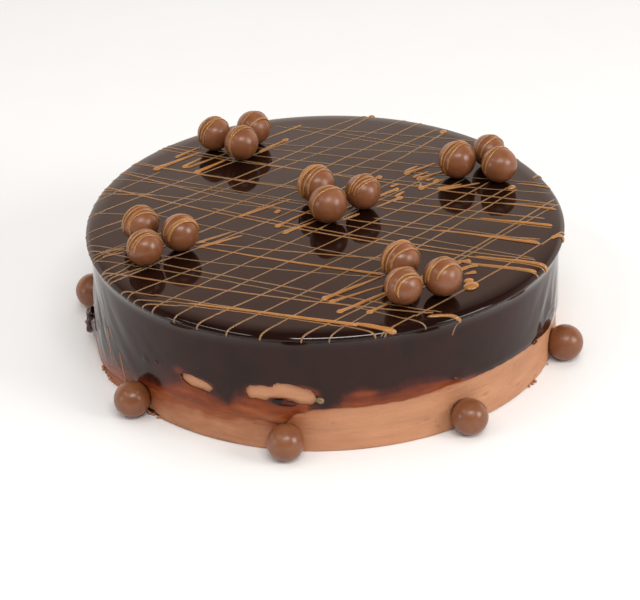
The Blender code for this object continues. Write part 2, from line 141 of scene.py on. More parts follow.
# Glaze that soaked into the mousse below the hem: bearing, strength, how far down in mm.
SOAKED = ((-176, 0.7, 9), (-160, 0.9, 10), (-150, 1.2, 11), (-139, 1.25, 11), (-130, 1.3, 11),
          (-120, 1.25, 10), (-110, 1.1, 9), (-104, 1.0, 9), (-99, 1.0, 12), (-94, 0.7, 7), (-86, 0.3, 4),
          (-75, 0.2, 4), (-62, 0.4, 4), (-50, 0.25, 3.5), (-38, 0.1, 3), (-15, 0.15, 3), (20, 0.6, 7),
          (50, 0.3, 4), (80, 0.7, 8), (110, 0.4, 4), (135, 0.8, 9), (160, 0.5, 6))
# Crumbs on the ground along the foot: bearing and spread in degrees, how many.
CRUMBS = ((-155, 3.5, 36), (-136, 2, 8), (-28, 6, 4), (100, 6, 12), (155, 5, 12))
# Blobs of glaze that stand on the side: bearing in degrees, height in mm, half width, half height
# and thickness in mm, how far it runs down to the right, thinness, unevenness.
SIDE_BLOBS = ((-100.4, 23.4, 6.0, 1.7, 0.6, 0.10, 0.40, 0.10),
              # The dark clump on the left: partly glaze, partly painted shade and reflection of the foot
              # ball beside it.
              (-176.5, 10.0, 4.5, 6.0, 3.6, 0.0, 0.0, 0.5),
              (-58.6, 24.6, 3.2, 0.7, 0.4, 0.1, 0.1, 0.2), (-31.5, 20.5, 1.6, 0.9, 0.6, 0.0, 0.6, 0.5),
              (-133.2, 28.2, 0.8, 0.6, 0.4, 0.0, 0.0, 0.4), (28.0, 26.0, 2.0, 1.4, 0.7, 0.2, 0.1, 0.4),
              (112.0, 24.0, 2.4, 1.6, 0.6, 0.1, 0.5, 0.3))

# ---- drizzle ----
# A line's row: offset from the middle of the cake in mm at three stations (left, middle, right),
# where it starts and ends along its heading in mm (None is over the rim), and its width in mm.
STATION = 70.0
RISING = 41.0                    # heading in degrees, from the front left to the back right
FALLING = -17.0                  # heading in degrees, from the left to the front right
RISING_LINES = (
    (77.2, 83.0, 88.8, None, -26, 1.1), (67.6, 66.0, 62.3, None, 84, 1.2),
    (54.5, 52.4, 57.2, None, 84, 1.3), (49.0, 46.5, 45.2, None, None, 1.1),
    (33.8, 32.2, 35.4, None, None, 1.3), (22.6, 22.9, 25.3, None, 94, 1.3),
    (12.6, 10.4, 17.2, None, 94, 1.3), (-1.2, -1.2, 2.6, None, 52, 1.1),
    (-13.4, -9.8, -6.0, None, 60, 1.2), (-25.0, -22.1, -19.2, None, 66, 1.2),
    (-37.4, -35.3, -29.2, None, 72, 1.3), (-48.5, -45.2, -38.9, None, 75, 1.3),
    (-59.4, -52.4, -43.2, None, 75, 1.3), (-73.5, -70.3, -61.9, None, 80, 1.3),
    (-81.2, -73.0, -65.4, None, 79, 1.1), (-93.4, -90.4, -80.6, None, None, 1.3))
FALLING_LINES = (
    (-84.2, -89.8, -90.5, None, 55, 1.3), (-90.6, -90.5, -90.5, None, -12, 1.2),
    (-95.3, -91.9, -97.0, None, None, 1.3), (-73.4, -76.8, -74.3, None, 67, 1.5),
    (-65.0, -71.6, -84.0, None, None, 1.1), (-58.9, -67.4, -73.0, None, 70, 1.3),
    (-53.8, -54.2, -46.0, None, 40, 1.1), (-39.5, -46.9, -47.8, -44, 40, 2.0),
    (-38.5, -38.0, -30.0, -44, 42, 1.4), (-31.5, -31.5, -31.5, 74, None, 1.4),
    (-19.5, -31.9, -41.0, -74, 42, 1.1), (-20.0, -7.5, 5.0, None, -73, 1.1),
    (-6.3, -18.4, -24.9, None, None, 1.5), (-1.8, -1.5, -1.5, None, -12, 1.1),
    (-0.6, 12.0, 24.6, None, -76, 1.4), (-2.0, -8.5, -16.6, 8, 95, 1.1),
    (-3.3, -15.6, -20.9, -48, 96, 1.4), (8.6, -3.2, -4.7, None, 95, 1.4),
    (0.0, 0.2, -2.8, 22, 95, 1.1), (9.5, 3.5, -10.0, None, -6, 1.1),
    (13.8, 6.0, 0.0, None, -6, 1.1), (9.0, 9.6, 8.9, 22, 97, 1.4),
    (23.3, 17.8, 16.0, None, 93, 1.4), (24.0, 20.5, 26.0, None, 96, 1.1),
    (43.5, 35.7, 31.3, None, 95, 1.4), (41.0, 37.0, 39.0, None, 91, 1.1),
    (47.8, 46.4, 48.5, None, 88, 1.1), (55.0, 55.3, 54.5, -48, 40, 1.1),
    (58.0, 64.6, 73.0, -48, None, 1.1), (84.0, 74.0, 71.5, -47, 40, 1.1),
    (87.0, 77.4, 69.6, -15, 40, 1.1), (80.0, 83.0, 87.0, -40, None, 1.1))
# Heavy stretches where passes ran together, in the falling family. They swell towards their end,
# where they have the width given.
HEAVY_LINES = ((-90.0, -90.3, -91.5, -30, 56, 2.9), (-8.0, -4.6, -5.4, 52, 95.5, 2.4),
               (10.0, 10.0, 10.2, 66, 97, 2.4), (-24.0, -24.0, -24.0, 72, None, 2.6),
               (-31.0, -31.0, -30.6, 68, 98.5, 2.2), (26.6, 26.6, 26.2, 72, 96, 1.9),
               (45.0, 45.5, 46.5, 74, 90, 1.9))
# Short passes over each cluster, in the rising family: offset and place of the left end, offset
# and place of the right end, width. Where a ball stands in its way a pass stops and goes on behind
# it; the first stretch thins out towards the ball, and the others swell away from it.
CLUSTER_PASSES = (
    (84.6, -25.5, 83.9, 0, 2.8), (87.5, -12, 88.5, 4, 2.4), (75.5, -15, 74.0, 52, 1.7),
    (68.8, -15, 70.2, 6, 2.6), (65.5, 19, 67.0, 38, 2.3),
    (22.0, -29, 19.0, -2, 2.2), (3.6, -23, 8.3, 41, 2.0), (-3.0, -26, -6.0, 38, 2.3),
    (-10.5, -12, -13.2, 33, 2.1),
    (2.4, 50, 1.0, 68, 2.6), (-5.0, 50, -9.0, 72, 2.2), (-12.6, 45, -14.0, 72, 2.1),
    (-19.5, 50, -27.0, 68, 2.3),
    (-57.4, -51, -60.0, -20, 2.8), (-61.4, -51, -66.0, -26, 2.1), (-69.5, -54, -73.7, 12, 2.3),
    (-78.0, -46, -78.6, 12, 2.2),
    (36.8, -92, 33.0, -82, 1.8), (33.4, -93, 30.0, -84, 1.8), (15.5, -58, 13.2, -40, 2.0),
    (12.0, -60, 7.6, -39, 2.2))
# Drops where the bag paused or turned: (along, offset, radius), in the rising family.
DROPS = ((-25, 84.4, 2.1), (-14.5, 77.2, 1.8), (-14, 68.9, 2.1), (36, 66.9, 1.8),
         (-22.5, 3.7, 2.0), (-24, -3, 1.9), (-14, 14, 1.9), (40, 8.2, 1.9), (37, -6, 1.7),
         (32.5, -13.2, 1.8), (52, 2.4, 2.1), (52.5, -5.2, 2.0), (46, -12.8, 1.9),
         (55.5, -12.4, 1.9), (74.5, -39.8, 2.3), (82.5, 59, 1.9), (94, 22.5, 2.0),
         (-50, -57.4, 2.1), (-50, -61.4, 1.9), (-53, -69.5, 1.9), (-45, -78, 1.9),
         (-1.6, -90.8, 3.9), (0.8, -87.0, 2.5))
# Tapered dabs: (along, offset) of the thin end and of the thick end, in the rising family, then the
# widths there in mm.
DABS = ((8.0, -71.2, 13.4, -75.8, 0.9, 3.0), (6.2, -76.9, 13.0, -80.2, 0.9, 3.1),
        (3.6, -81.6, 8.2, -83.8, 0.9, 3.0), (60.5, 4.6, 52.0, 4.0, 0.9, 2.6),
        (60.0, -3.2, 50.6, -2.6, 0.8, 2.2), (57.5, -10.0, 52.5, -8.6, 0.8, 2.2),
        (61.6, -22.1, 50.4, -18.0, 0.9, 2.2), (38.4, -10.0, 31.6, -10.9, 0.9, 2.3),
        (45.4, -12.2, 49.0, -9.0, 0.8, 0.9), (46.2, -8.6, 48.2, -12.8, 0.8, 0.9),
        (42.2, -3.0, 37.0, -2.4, 0.8, 2.0), (-3.3, 79.0, -15.5, 77.2, 0.8, 2.2))
# Strands that hook over the rim: width in mm, then places as (bearing in degrees, radius in mm
# with the rim unrolled).
RIM_HOOKS = ((1.7, (-66.0, 98.0), (-63.2, 99.5), (-60.7, 101.2), (-59.2, 103.6), (-58.6, 105.6),
              (-58.9, 106.6)),
             (0.8, (-58.9, 106.2), (-59.7, 109.4), (-60.3, 112.4)),
             (1.9, (-76.4, 100.3), (-74.9, 101.9), (-74.5, 103.2)),
             (0.7, (-74.7, 101.4), (-76.6, 101.0), (-77.7, 102.0), (-78.2, 103.8)),
             (2.0, (-16.2, 97.5), (-14.2, 99.8), (-13.4, 102.2), (-15.0, 103.8)),
             (1.3, (17.0, 97.0), (18.5, 100.0), (18.2, 103.5)),
             (0.8, (-165.6, 84.0), (-164.5, 88.6), (-163.0, 94.0), (-162.0, 99.0), (-162.4, 103.5)),
             (0.8, (-162.6, 87.0), (-161.5, 91.1), (-160.2, 95.5), (-159.3, 100.0), (-159.5, 104.0)),
             (0.9, (-154.6, 84.0), (-152.7, 90.0), (-151.1, 95.3), (-151.0, 100.4), (-152.2, 104.8)),
             (0.9, (-151.2, 76.5), (-150.0, 80.8), (-149.2, 85.5), (-148.3, 94.4), (-147.7, 100.2),
              (-149.2, 104.6)))
# Thin runs down the side and a small lump on it: (bearing, height) at both ends, width in mm, heft.
SIDE_DRIPS = ((-155.3, 27.0, -153.0, 12.0, 0.7, 0.8), (-148.6, 21.0, -145.5, 6.5, 0.7, 0.8),
              # The small lump is pale caramel, and its paleness is partly a painted highlight.
              (-92.9, 25.0, -91.0, 24.2, 3.3, 0.05))
# Strands that cling to the balls on top, each in an upright plane over its ball: number of the
# ball, heading in degrees, how far the plane is behind the ball's middle in radii, angles in
# degrees where it starts at the back right and ends at the front left, width in mm.
BALL_STRANDS = (
    (1, 38, -0.25, 20, 205, 0.9), (1, 39, -0.10, 20, 190, 0.9), (1, 38, 0.22, 20, 200, 1.4),
    (2, 40, -0.20, 15, 222, 1.1), (2, 41, -0.05, 15, 200, 1.0), (2, 36, 0.10, 30, 150, 0.8),
    (3, 36, -0.62, 0, 150, 1.2), (3, 38, -0.05, 10, 170, 0.7),
    (4, 38, -0.30, 10, 195, 1.0), (4, 40, -0.08, 20, 215, 1.0), (4, 38, 0.10, 30, 190, 1.6),
    (5, 37, -0.35, 10, 190, 1.0), (5, 37, 0.00, 20, 180, 0.8),
    (6, 40, 0.05, 20, 200, 1.1), (6, 38, 0.26, 30, 190, 1.2),
    (7, 40, 0.16, 20, 215, 2.4), (7, 40, -0.12, 20, 205, 1.1), (7, 40, -0.36, 10, 195, 1.1),
    (7, 40, 0.42, 30, 195, 1.8),
    (8, 27, -0.20, 10, 212, 1.1), (8, 24, -0.02, 15, 120, 0.8),
    (9, 33, -0.55, 5, 160, 0.9), (9, 34, -0.42, 5, 172, 1.0), (9, 36, -0.22, 10, 165, 1.0),
    (9, 38, 0.05, 20, 175, 1.3),
    (10, 30, -0.46, 5, 205, 1.2), (10, 31, -0.32, 10, 180, 1.0), (10, 35, 0.05, 15, 195, 1.0),
    (10, 36, 0.28, 20, 205, 1.4),
    (11, 30, -0.45, 10, 175, 0.9), (11, 30, -0.30, 10, 165, 0.9), (11, 33, -0.05, 15, 185, 1.0),
    (11, 35, 0.20, 20, 200, 0.9),
    (12, 28, -0.50, 5, 188, 1.7), (12, 29, -0.36, 10, 170, 1.2), (12, 32, 0.00, 15, 180, 1.0),
    (13, 33, -0.50, 0, 190, 1.3), (13, 36, -0.12, 10, 205, 1.1), (13, 38, 0.14, 20, 205, 2.2),
    (14, 30, -0.48, 0, 172, 1.1), (14, 33, -0.62, 0, 200, 1.1), (14, 36, 0.10, 20, 190, 1.2),
    (15, 33, -0.52, 5, 158, 1.3), (15, 35, -0.05, 15, 178, 1.3), (15, 37, 0.20, 20, 190, 1.2))
BEND_RADIUS = 100.8 * MM         # from here, unrolled, a line turns to run down over the rim
END_RADIUS = 104.9 * MM          # a line over the rim ends about here, unrolled
ROUTE_STEP = 0.7 * MM            # spacing of a line's sections
HEAVY_FROM = 1.8                 # lines at least this wide in mm are heavy ones

SEED = 4127


# ---- settings ----

class CakeForm(bpy.types.PropertyGroup):
    """Sizes of the glaze's edges and of the balls."""
    hem_waver: FloatProperty(
        name="Hem waver", description="How far the glaze's hem wanders up and down",
        default=0.5 * MM, min=0, unit="LENGTH", subtype="DISTANCE")
    glaze_on_side: FloatProperty(
        name="Glaze on the side", description="Thickness of the glaze that ran down the side",
        default=GLAZE_SKIN, min=0.2 * MM, unit="LENGTH", subtype="DISTANCE")
    glaze_at_hem: FloatProperty(
        name="Glaze at the hem", description="Thickness of the glaze where it ends",
        default=0.35 * MM, min=0.1 * MM, unit="LENGTH", subtype="DISTANCE")
    wipe_depth: FloatProperty(
        name="Wipe depth", description="Depth of the scraper's streaks in the mousse",
        default=0.22 * MM, min=0, unit="LENGTH", subtype="DISTANCE")
    ball_unevenness: FloatProperty(
        name="Ball unevenness", description="How far a ball's surface wanders from a true ball",
        default=0.12 * MM, min=0, unit="LENGTH", subtype="DISTANCE")


class DrizzleForm(bpy.types.PropertyGroup):
    """How the drizzle lies."""
    fine_share: FloatProperty(
        name="Fine width", description="Width of the fine lines as a share of the table's",
        default=0.65, min=0.3, max=1.5, subtype="FACTOR")
    fine_height: FloatProperty(
        name="Fine height", description="Height of a fine line as a share of its width",
        default=0.26, min=0.1, max=1.0, subtype="FACTOR")
    heavy_height: FloatProperty(
        name="Heavy height", description="Height of a heavy line as a share of its width",
        default=0.32, min=0.1, max=1.0, subtype="FACTOR")
    waver: FloatProperty(
        name="Waver", description="How far a line wanders from its course",
        default=0.22 * MM, min=0, unit="LENGTH", subtype="DISTANCE")
    swell: FloatProperty(
        name="Swell", description="How much a line's width comes and goes, as a share",
        default=0.16, min=0, max=0.5, subtype="FACTOR")
    sides: IntProperty(
        name="Sides", description="Facets round a line", default=10, min=6, max=24)


class CakeColours(bpy.types.PropertyGroup):
    """Linear colours of the finishes."""
    glaze: FloatVectorProperty(
        name="Glaze", description="Thick mirror glaze", subtype="COLOR", size=3,
        default=(0.0085, 0.0026, 0.0017), min=0, max=1)
    thin_glaze: FloatVectorProperty(
        name="Thin glaze", description="Glaze where it is a thin film over the mousse",
        subtype="COLOR", size=3, default=(0.085, 0.015, 0.009), min=0, max=1)
    film_glaze: FloatVectorProperty(
        name="Glaze film", description="Glaze where it is hardly more than a stain",
        subtype="COLOR", size=3, default=(0.24, 0.046, 0.007), min=0, max=1)
    drizzle: FloatVectorProperty(
        name="Drizzle", description="Caramel drizzle where it is heavy", subtype="COLOR", size=3,
        default=(0.40, 0.163, 0.036), min=0, max=1)
    drizzle_thin: FloatVectorProperty(
        name="Thin drizzle", description="Caramel drizzle where the glaze shows through",
        subtype="COLOR", size=3, default=(0.165, 0.103, 0.052), min=0, max=1)
    mousse: FloatVectorProperty(
        name="Mousse", description="Chocolate mousse", subtype="COLOR", size=3,
        default=(0.487, 0.224, 0.112), min=0, max=1)
    # Painted shade: the mousse turns to this colour in its pits, streaks, tears and ball dents; crumbs
    # take it as a random darker tone.
    mousse_shade_and_tone: FloatVectorProperty(
        name="Mousse shade and tone", description="Mousse in its pits and streaks", subtype="COLOR", size=3,
        default=(0.33, 0.12, 0.05), min=0, max=1)
    soaked: FloatVectorProperty(
        name="Soaked mousse", description="Mousse that glaze soaked into", subtype="COLOR", size=3,
        default=(0.24, 0.050, 0.005), min=0, max=1)
    ball: FloatVectorProperty(
        name="Ball", description="Milk chocolate of the balls", subtype="COLOR", size=3,
        default=(0.165, 0.053, 0.019), min=0, max=1)
    ball_pale: FloatVectorProperty(
        name="Pale ball", description="Paler mottling of the balls", subtype="COLOR", size=3,
        default=(0.215, 0.078, 0.031), min=0, max=1)


class StageSettings(bpy.types.PropertyGroup):
    """The camera and the studio."""
    distance: FloatProperty(
        name="Camera distance", description="From the cake's foot to the camera",
        default=0.927, min=0.2, unit="LENGTH", subtype="DISTANCE")
    elevation: FloatProperty(
        name="Camera elevation", description="Height of the camera above the horizon",
        default=0.52063, subtype="ANGLE")
    yaw: FloatProperty(name="Yaw", description="Turn of the camera", default=math.radians(0.1626),
                       subtype="ANGLE")
    pitch: FloatProperty(name="Pitch", description="Tilt of the camera up from the cake's foot",
                         default=math.radians(0.7249), subtype="ANGLE")
    roll: FloatProperty(name="Roll", description="Roll of the camera",
                        default=math.radians(1.5088), subtype="ANGLE")
    focal_share: FloatProperty(
        name="Focal share", description="Focal length as a share of the picture's width",
        default=2099.85 / 640, min=0.5)


# ---- shared shapes ----

def clamp(value, least=0.0, most=1.0):
    """A number kept within two bounds."""
    return min(max(value, least), most)


def between(first, last, share):
    """The number at a share of the way from one to another."""
    return first + (last - first) * share


def in_plan(reach, bearing):
    """Place in plan at a reach from the middle."""
    return reach * math.cos(bearing), reach * math.sin(bearing)


def outward(bearing):
    """Level direction away from the middle at a bearing."""
    return Vector((math.cos(bearing), math.sin(bearing), 0))


def sideways(bearing):
    """Level direction along the side at a bearing, towards growing bearings."""
    return Vector((-math.sin(bearing), math.cos(bearing), 0))


def turn_between(degrees, at):
    """Signed turn from one bearing to another, in degrees."""
    return (degrees - at + 180) % 360 - 180


def mm_between(degrees, at):
    """Signed distance along the side from one bearing to another, in millimetres."""
    return turn_between(degrees, at) * math.radians(1) * FOOT_RADIUS / MM


def lobe_factor(lobes, bearing):
    """How far the outline stands off its circle at a bearing, as a factor."""
    return 1 + sum(share * math.cos(count * (bearing - math.radians(at)))
                   for count, share, at in lobes)


def outline_factor(bearing, z):
    """The uneven outline, from the foot's lobes to the rim's."""
    up = clamp(z / CAKE_HEIGHT)
    return (1 - up) * lobe_factor(FOOT_LOBES, bearing) + up * lobe_factor(TOP_LOBES, bearing)


def around(radius, z, bearing):
    """A point of the cake's surface, on the uneven outline and leaned with the top's slope."""
    reach = radius * outline_factor(bearing, z)
    y = reach * math.sin(bearing)
    return Vector((reach * math.cos(bearing), y, z * (1 + TOP_SLOPE * y / CAKE_HEIGHT)))


def mousse_radius(z):
    """The mousse leans in a little from its foot to its shoulder."""
    return FOOT_RADIUS + (SHOULDER_RADIUS - FOOT_RADIUS) * z / UNDER_RIM_Z


def skin_radius(z):
    """Radius of the glaze's outer face on the side."""
    return mousse_radius(z) + GAP + GLAZE_SKIN


# The rim rolls over in stages: (length of the stage in mm, tilt in degrees at its end).
RIM_STAGES = ((3.2, 4.5), (1.8, 9), (1.0, 26), (0.6, 43), (0.8, 51), (0.7, 82), (1.4, 150))
RIM_START = 94.3 * MM            # the top is level out to about here
ROLL_STEP = 0.1 * MM
JOIN_STEPS = 12                  # steps from the end of the roll back to the side
PROFILE_END_Z = 30 * MM


def rim_profile():
    """Closely spaced (radius, z, tilt) from the level top, round the rim and back under it."""
    points = [(0.0, 0.0, 0.0)]
    tilt = 0.0
    for length, end in RIM_STAGES:
        count = max(1, round(length * MM / ROLL_STEP))
        for i in range(count):
            r, z, _ = points[-1]
            now = math.radians(between(tilt, end, (i + 1) / count))
            points.append((r + ROLL_STEP * math.cos(now), z - ROLL_STEP * math.sin(now), now))
        tilt = end
    shift = RIM_RADIUS - max(r for r, _, _ in points)
    rim = [(r + shift, CAKE_HEIGHT + z, tilt) for r, z, tilt in points]
    join_r, join_z, _ = rim[-1]
    for i in range(1, JOIN_STEPS + 1):
        share = i / JOIN_STEPS
        rim.append((between(join_r, skin_radius(UNDER_RIM_Z), 1 - (1 - share) ** 2),
                    between(join_z, UNDER_RIM_Z, share), math.pi / 2))
    rim.append((skin_radius(PROFILE_END_Z), PROFILE_END_Z, math.pi / 2))
    return rim


RIM_PROFILE = rim_profile()
RIM_RUNS = [0.0]
for (r_a, z_a, _), (r_b, z_b, _) in zip(RIM_PROFILE, RIM_PROFILE[1:]):
    RIM_RUNS.append(RIM_RUNS[-1] + math.hypot(r_b - r_a, z_b - z_a))


def glaze_point(x, y):
    """Point and outward normal of the glaze for a place in plan, unrolled over the rim."""
    bearing = math.atan2(y, x)
    left = math.hypot(x, y) - RIM_PROFILE[0][0]
    if left <= 0:
        return Vector((x, y, CAKE_HEIGHT + TOP_SLOPE * y)), Vector((0, 0, 1))
    i = min(bisect.bisect_right(RIM_RUNS, left), len(RIM_RUNS) - 1)
    share = min((left - RIM_RUNS[i - 1]) / (RIM_RUNS[i] - RIM_RUNS[i - 1]), 1)
    radius, z, tilt = [between(a, b, share) for a, b in zip(RIM_PROFILE[i - 1], RIM_PROFILE[i])]
    normal = outward(bearing) * math.sin(tilt) + Vector((0, 0, math.cos(tilt)))
    return around(radius, z, bearing), normal


def on_top(x, y):
    """Place in plan, in metres, of a table's millimetres, fitted to the sloping top."""
    return x * MM, y * PLAN_SQUEEZE * MM + PLAN_SHIFT


def family_place(heading, along, offset):
    """Place in plan, in metres, from millimetres along and across a family of lines."""
    turn = math.radians(heading)
    x = along * math.cos(turn) - offset * math.sin(turn)
    y = along * math.sin(turn) + offset * math.cos(turn)
    return on_top(x, y)


def round_rows(table):
    """A table of rows by bearing, carried on past both its ends."""
    return sorted((row[0] + turn, *row[1:]) for turn in (-360, 0, 360) for row in table)


HEM_ROWS = round_rows(HEM)
DARK_ROWS = round_rows(DARK_FROM)
SOAKED_ROWS = round_rows(SOAKED)


def at_bearing(rows, degrees):
    """Values of a table at a bearing, eased from row to row."""
    i = bisect.bisect_right(rows, degrees, key=lambda row: row[0])
    low, high = rows[i - 1], rows[i]
    share = (degrees - low[0]) / (high[0] - low[0])
    share = share * share * (3 - 2 * share)
    return [between(a, b, share) for a, b in zip(low[1:], high[1:])]


def hem_height(bearing):
    """Height of the glaze's lower hem at a bearing in radians."""
    return at_bearing(HEM_ROWS, math.degrees(bearing))[0] * MM


def foot_ball_place(degrees, radius):
    """Centre of a ball that stands beside the cake and is pressed a little into its foot."""
    bearing = math.radians(degrees)
    side = around(FOOT_RADIUS, radius * MM, bearing)
    reach = math.hypot(side.x, side.y) + radius * MM - BALL_PRESS
    return Vector((*in_plan(reach, bearing), radius * MM))


def top_ball_place(x, y, radius):
    """Centre of a ball of a cluster, which stands on the level glaze."""
    px, py = on_top(x, y)
    return Vector((px, py, CAKE_HEIGHT + TOP_SLOPE * py + GAP + radius * MM))


def add_piece(name, bm, material, replaced=()):
    """A smooth-shaded piece from a finished bmesh, riding on the cake."""
    bmesh.ops.recalc_face_normals(bm, faces=bm.faces)
    mesh = bpy.data.meshes.new(name)
    bm.to_mesh(mesh)
    bm.free()
    mesh.shade_smooth()
    piece = bpy.data.objects.new(name, mesh)
    bpy.context.scene.collection.objects.link(piece)
    mesh.materials.append(material)
    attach(piece, "root")
    if replaced:
        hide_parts(*replaced)
    return piece


def bridge(bm, near, far):
    """Faces between two loops of the same count."""
    count = len(near)
    for i in range(count):
        j = (i + 1) % count
        bm.faces.new((near[i], near[j], far[j], far[i]))


def plain_ring(radius, z):
    """A ring of a body at one radius and height: a function from a bearing to a point."""
    return lambda bearing: around(radius, z, bearing)


def rounded_edge(radius, top):
    """Plain rings over the rounded edge of the mousse's flat top."""
    rings = []
    for degrees in (0, 30, 60, 90):
        turn = math.radians(degrees)
        rings.append(plain_ring(radius - MOUSSE_EDGE_ROUND * (1 - math.cos(turn)),
                                top - MOUSSE_EDGE_ROUND * (1 - math.sin(turn))))
    return rings


def turned_body(rings, steps):
    """A closed body from functions that give a point for a bearing, one a ring, ends closed."""
    bearings = [2 * math.pi * i / steps - math.pi for i in range(steps)]
    bm = bmesh.new()
    loops = [[bm.verts.new(ring(bearing)) for bearing in bearings] for ring in rings]
    for lower, upper in zip(loops, loops[1:]):
        bridge(bm, lower, upper)
    for loop in (loops[0], loops[-1]):
        middle = bm.verts.new(sum((v.co for v in loop), Vector()) / steps)
        for i in range(steps):
            bm.faces.new((loop[i], loop[(i + 1) % steps], middle))
    return bm


def soft_noise(place, scale, seed=0.0):
    """Smooth noise of about -1 to 1, with features of about the scale."""
    return noise.noise(Vector(place) / scale + Vector((seed, seed * 1.7, seed * 0.6)))


def set_mask(piece, name, values):
    """A number at each vertex of a piece, which its material reads as a mask."""
    attribute = piece.data.attributes.new(name, "FLOAT", "POINT")
    attribute.data.foreach_set("value", values)


# ---- material helpers ----

def feed(tree, node, feeds):
    """Give a node's inputs what they take: another node's output, or a plain value."""
    for name, value in feeds:
        socket = node.inputs[name]
        if isinstance(value, bpy.types.NodeSocket):
            tree.links.new(value, socket)
        elif socket.type == "RGBA":
            socket.default_value = (*value, 1)
        else:
            socket.default_value = value


def add_node(tree, kind, feeds=(), **values):
    """A node of a kind, with its properties set and its inputs fed."""
    node = tree.nodes.new(kind)
    for key, value in values.items():
        setattr(node, key, value)
    feed(tree, node, feeds)
    return node


def add_maths(tree, operation, *feeds):
    """The output of a Math node."""
    return add_node(tree, "ShaderNodeMath", enumerate(feeds), operation=operation).outputs[0]


def group_sockets(tree, inputs, outputs):
    """Named sockets on a node group: (name, kind, default) in, (name, kind) out."""
    for name, kind, default in inputs:
        socket = tree.interface.new_socket(name=name, in_out="INPUT", socket_type=kind)
        socket.default_value = default
    for name, kind in outputs:
        tree.interface.new_socket(name=name, in_out="OUTPUT", socket_type=kind)
    return tree.nodes.new("NodeGroupInput").outputs, tree.nodes.new("NodeGroupOutput")


FINE_BLOTCH = 0.35               # how much the fine blotches count beside the coarse ones
BLOTCH_MIDDLE = 0.675            # middle value of both together


def mottle_group():
    """Two colours mixed in soft blotches, with a finer blotch on top: colour and masks out."""
    tree = bpy.data.node_groups.get("Mottle")
    if tree:
        return tree
    tree = bpy.data.node_groups.new("Mottle", "ShaderNodeTree")
    entry, leave = group_sockets(
        tree,
        (("First", "NodeSocketColor", (0.5, 0.5, 0.5, 1)),
         ("Second", "NodeSocketColor", (0.4, 0.4, 0.4, 1)),
         ("Size", "NodeSocketFloat", 100.0), ("Fine Size", "NodeSocketFloat", 600.0),
         ("Contrast", "NodeSocketFloat", 0.25), ("Stretch", "NodeSocketVector", (1, 1, 1))),
        (("Color", "NodeSocketColor"), ("Mask", "NodeSocketFloat"),
         ("Fine", "NodeSocketFloat")))
    place = add_node(tree, "ShaderNodeTexCoord").outputs["Object"]
    stretched = add_node(tree, "ShaderNodeVectorMath", ((0, place), (1, entry["Stretch"])),
                         operation="MULTIPLY").outputs[0]
    coarse, fine = [
        add_node(tree, "ShaderNodeTexNoise",
                 (("Vector", stretched), ("Scale", entry[size]), ("Detail", detail))).outputs["Fac"]
        for size, detail in (("Size", 3), ("Fine Size", 4))]
    blotch = add_maths(tree, "MULTIPLY_ADD", fine, FINE_BLOTCH, coarse)
    low = add_maths(tree, "SUBTRACT", BLOTCH_MIDDLE, entry["Contrast"])
    high = add_maths(tree, "ADD", BLOTCH_MIDDLE, entry["Contrast"])
    mask = add_node(tree, "ShaderNodeMapRange",
                    (("Value", blotch), ("From Min", low), ("From Max", high)),
                    interpolation_type="SMOOTHSTEP").outputs["Result"]
    colour = add_mix(tree, mask, entry["First"], entry["Second"])
    feed(tree, leave, (("Color", colour), ("Mask", mask), ("Fine", fine)))
    return tree


def add_mottle(tree, first, second, size, fine_size, contrast, stretch=(1, 1, 1)):
    """The outputs of a Mottle group in a material, with its own values."""
    feeds = (("First", first), ("Second", second), ("Size", size), ("Fine Size", fine_size),
             ("Contrast", contrast), ("Stretch", stretch))
    return add_node(tree, "ShaderNodeGroup", feeds, node_tree=mottle_group()).outputs


def add_bump(tree, shader, height, strength, distance):
    """A Bump node that feeds the shader's normal."""
    feeds = (("Strength", strength), ("Distance", distance), ("Height", height))
    bump = add_node(tree, "ShaderNodeBump", feeds)
    feed(tree, shader, (("Normal", bump.outputs["Normal"]),))


def add_range(tree, value, low, high, out_low=0, out_high=1):
    """A number remapped from one range to another."""
    feeds = (("From Min", low), ("From Max", high), ("To Min", out_low), ("To Max", out_high),
             ("Value", value))
    return add_node(tree, "ShaderNodeMapRange", feeds).outputs["Result"]


def add_mix(tree, factor, first, second):
    """A mix of two colours, each a socket or a plain colour."""
    feeds = (("Factor", factor), (6, first), (7, second))
    return add_node(tree, "ShaderNodeMix", feeds, data_type="RGBA").outputs[2]


def add_mask(tree, name):
    """A mask that a mesh carries, as a number."""
    return add_node(tree, "ShaderNodeAttribute", attribute_name=name).outputs["Fac"]


def shaded(colour, factor):
    """A colour made paler or darker."""
    return [value * factor for value in colour]


def dressed(name, dress):
    """A material by its name, made once by a function that lays out its nodes."""
    material = bpy.data.materials.get(name)
    if not material:
        material = bpy.data.materials.new(name)
        material.use_nodes = True
        tree = material.node_tree
        dress(tree, tree.nodes["Principled BSDF"], bpy.context.scene.cake_colours)
    return material


# ---- materials ----

LEVEL_STREAKS = (1, 1, 4)        # draws blotches out level
# Where the glaze goes from dark to thin, from thin to a film, and from a film to bare mousse, by
# its thinness.
THIN_RANGE = (0.02, 0.45)
FILM_RANGE = (0.4, 0.8)
MOUSSE_RANGE = (0.78, 1.0)
MOUSSE_SHARE = 0.3               # how far a film goes to the mousse's colour


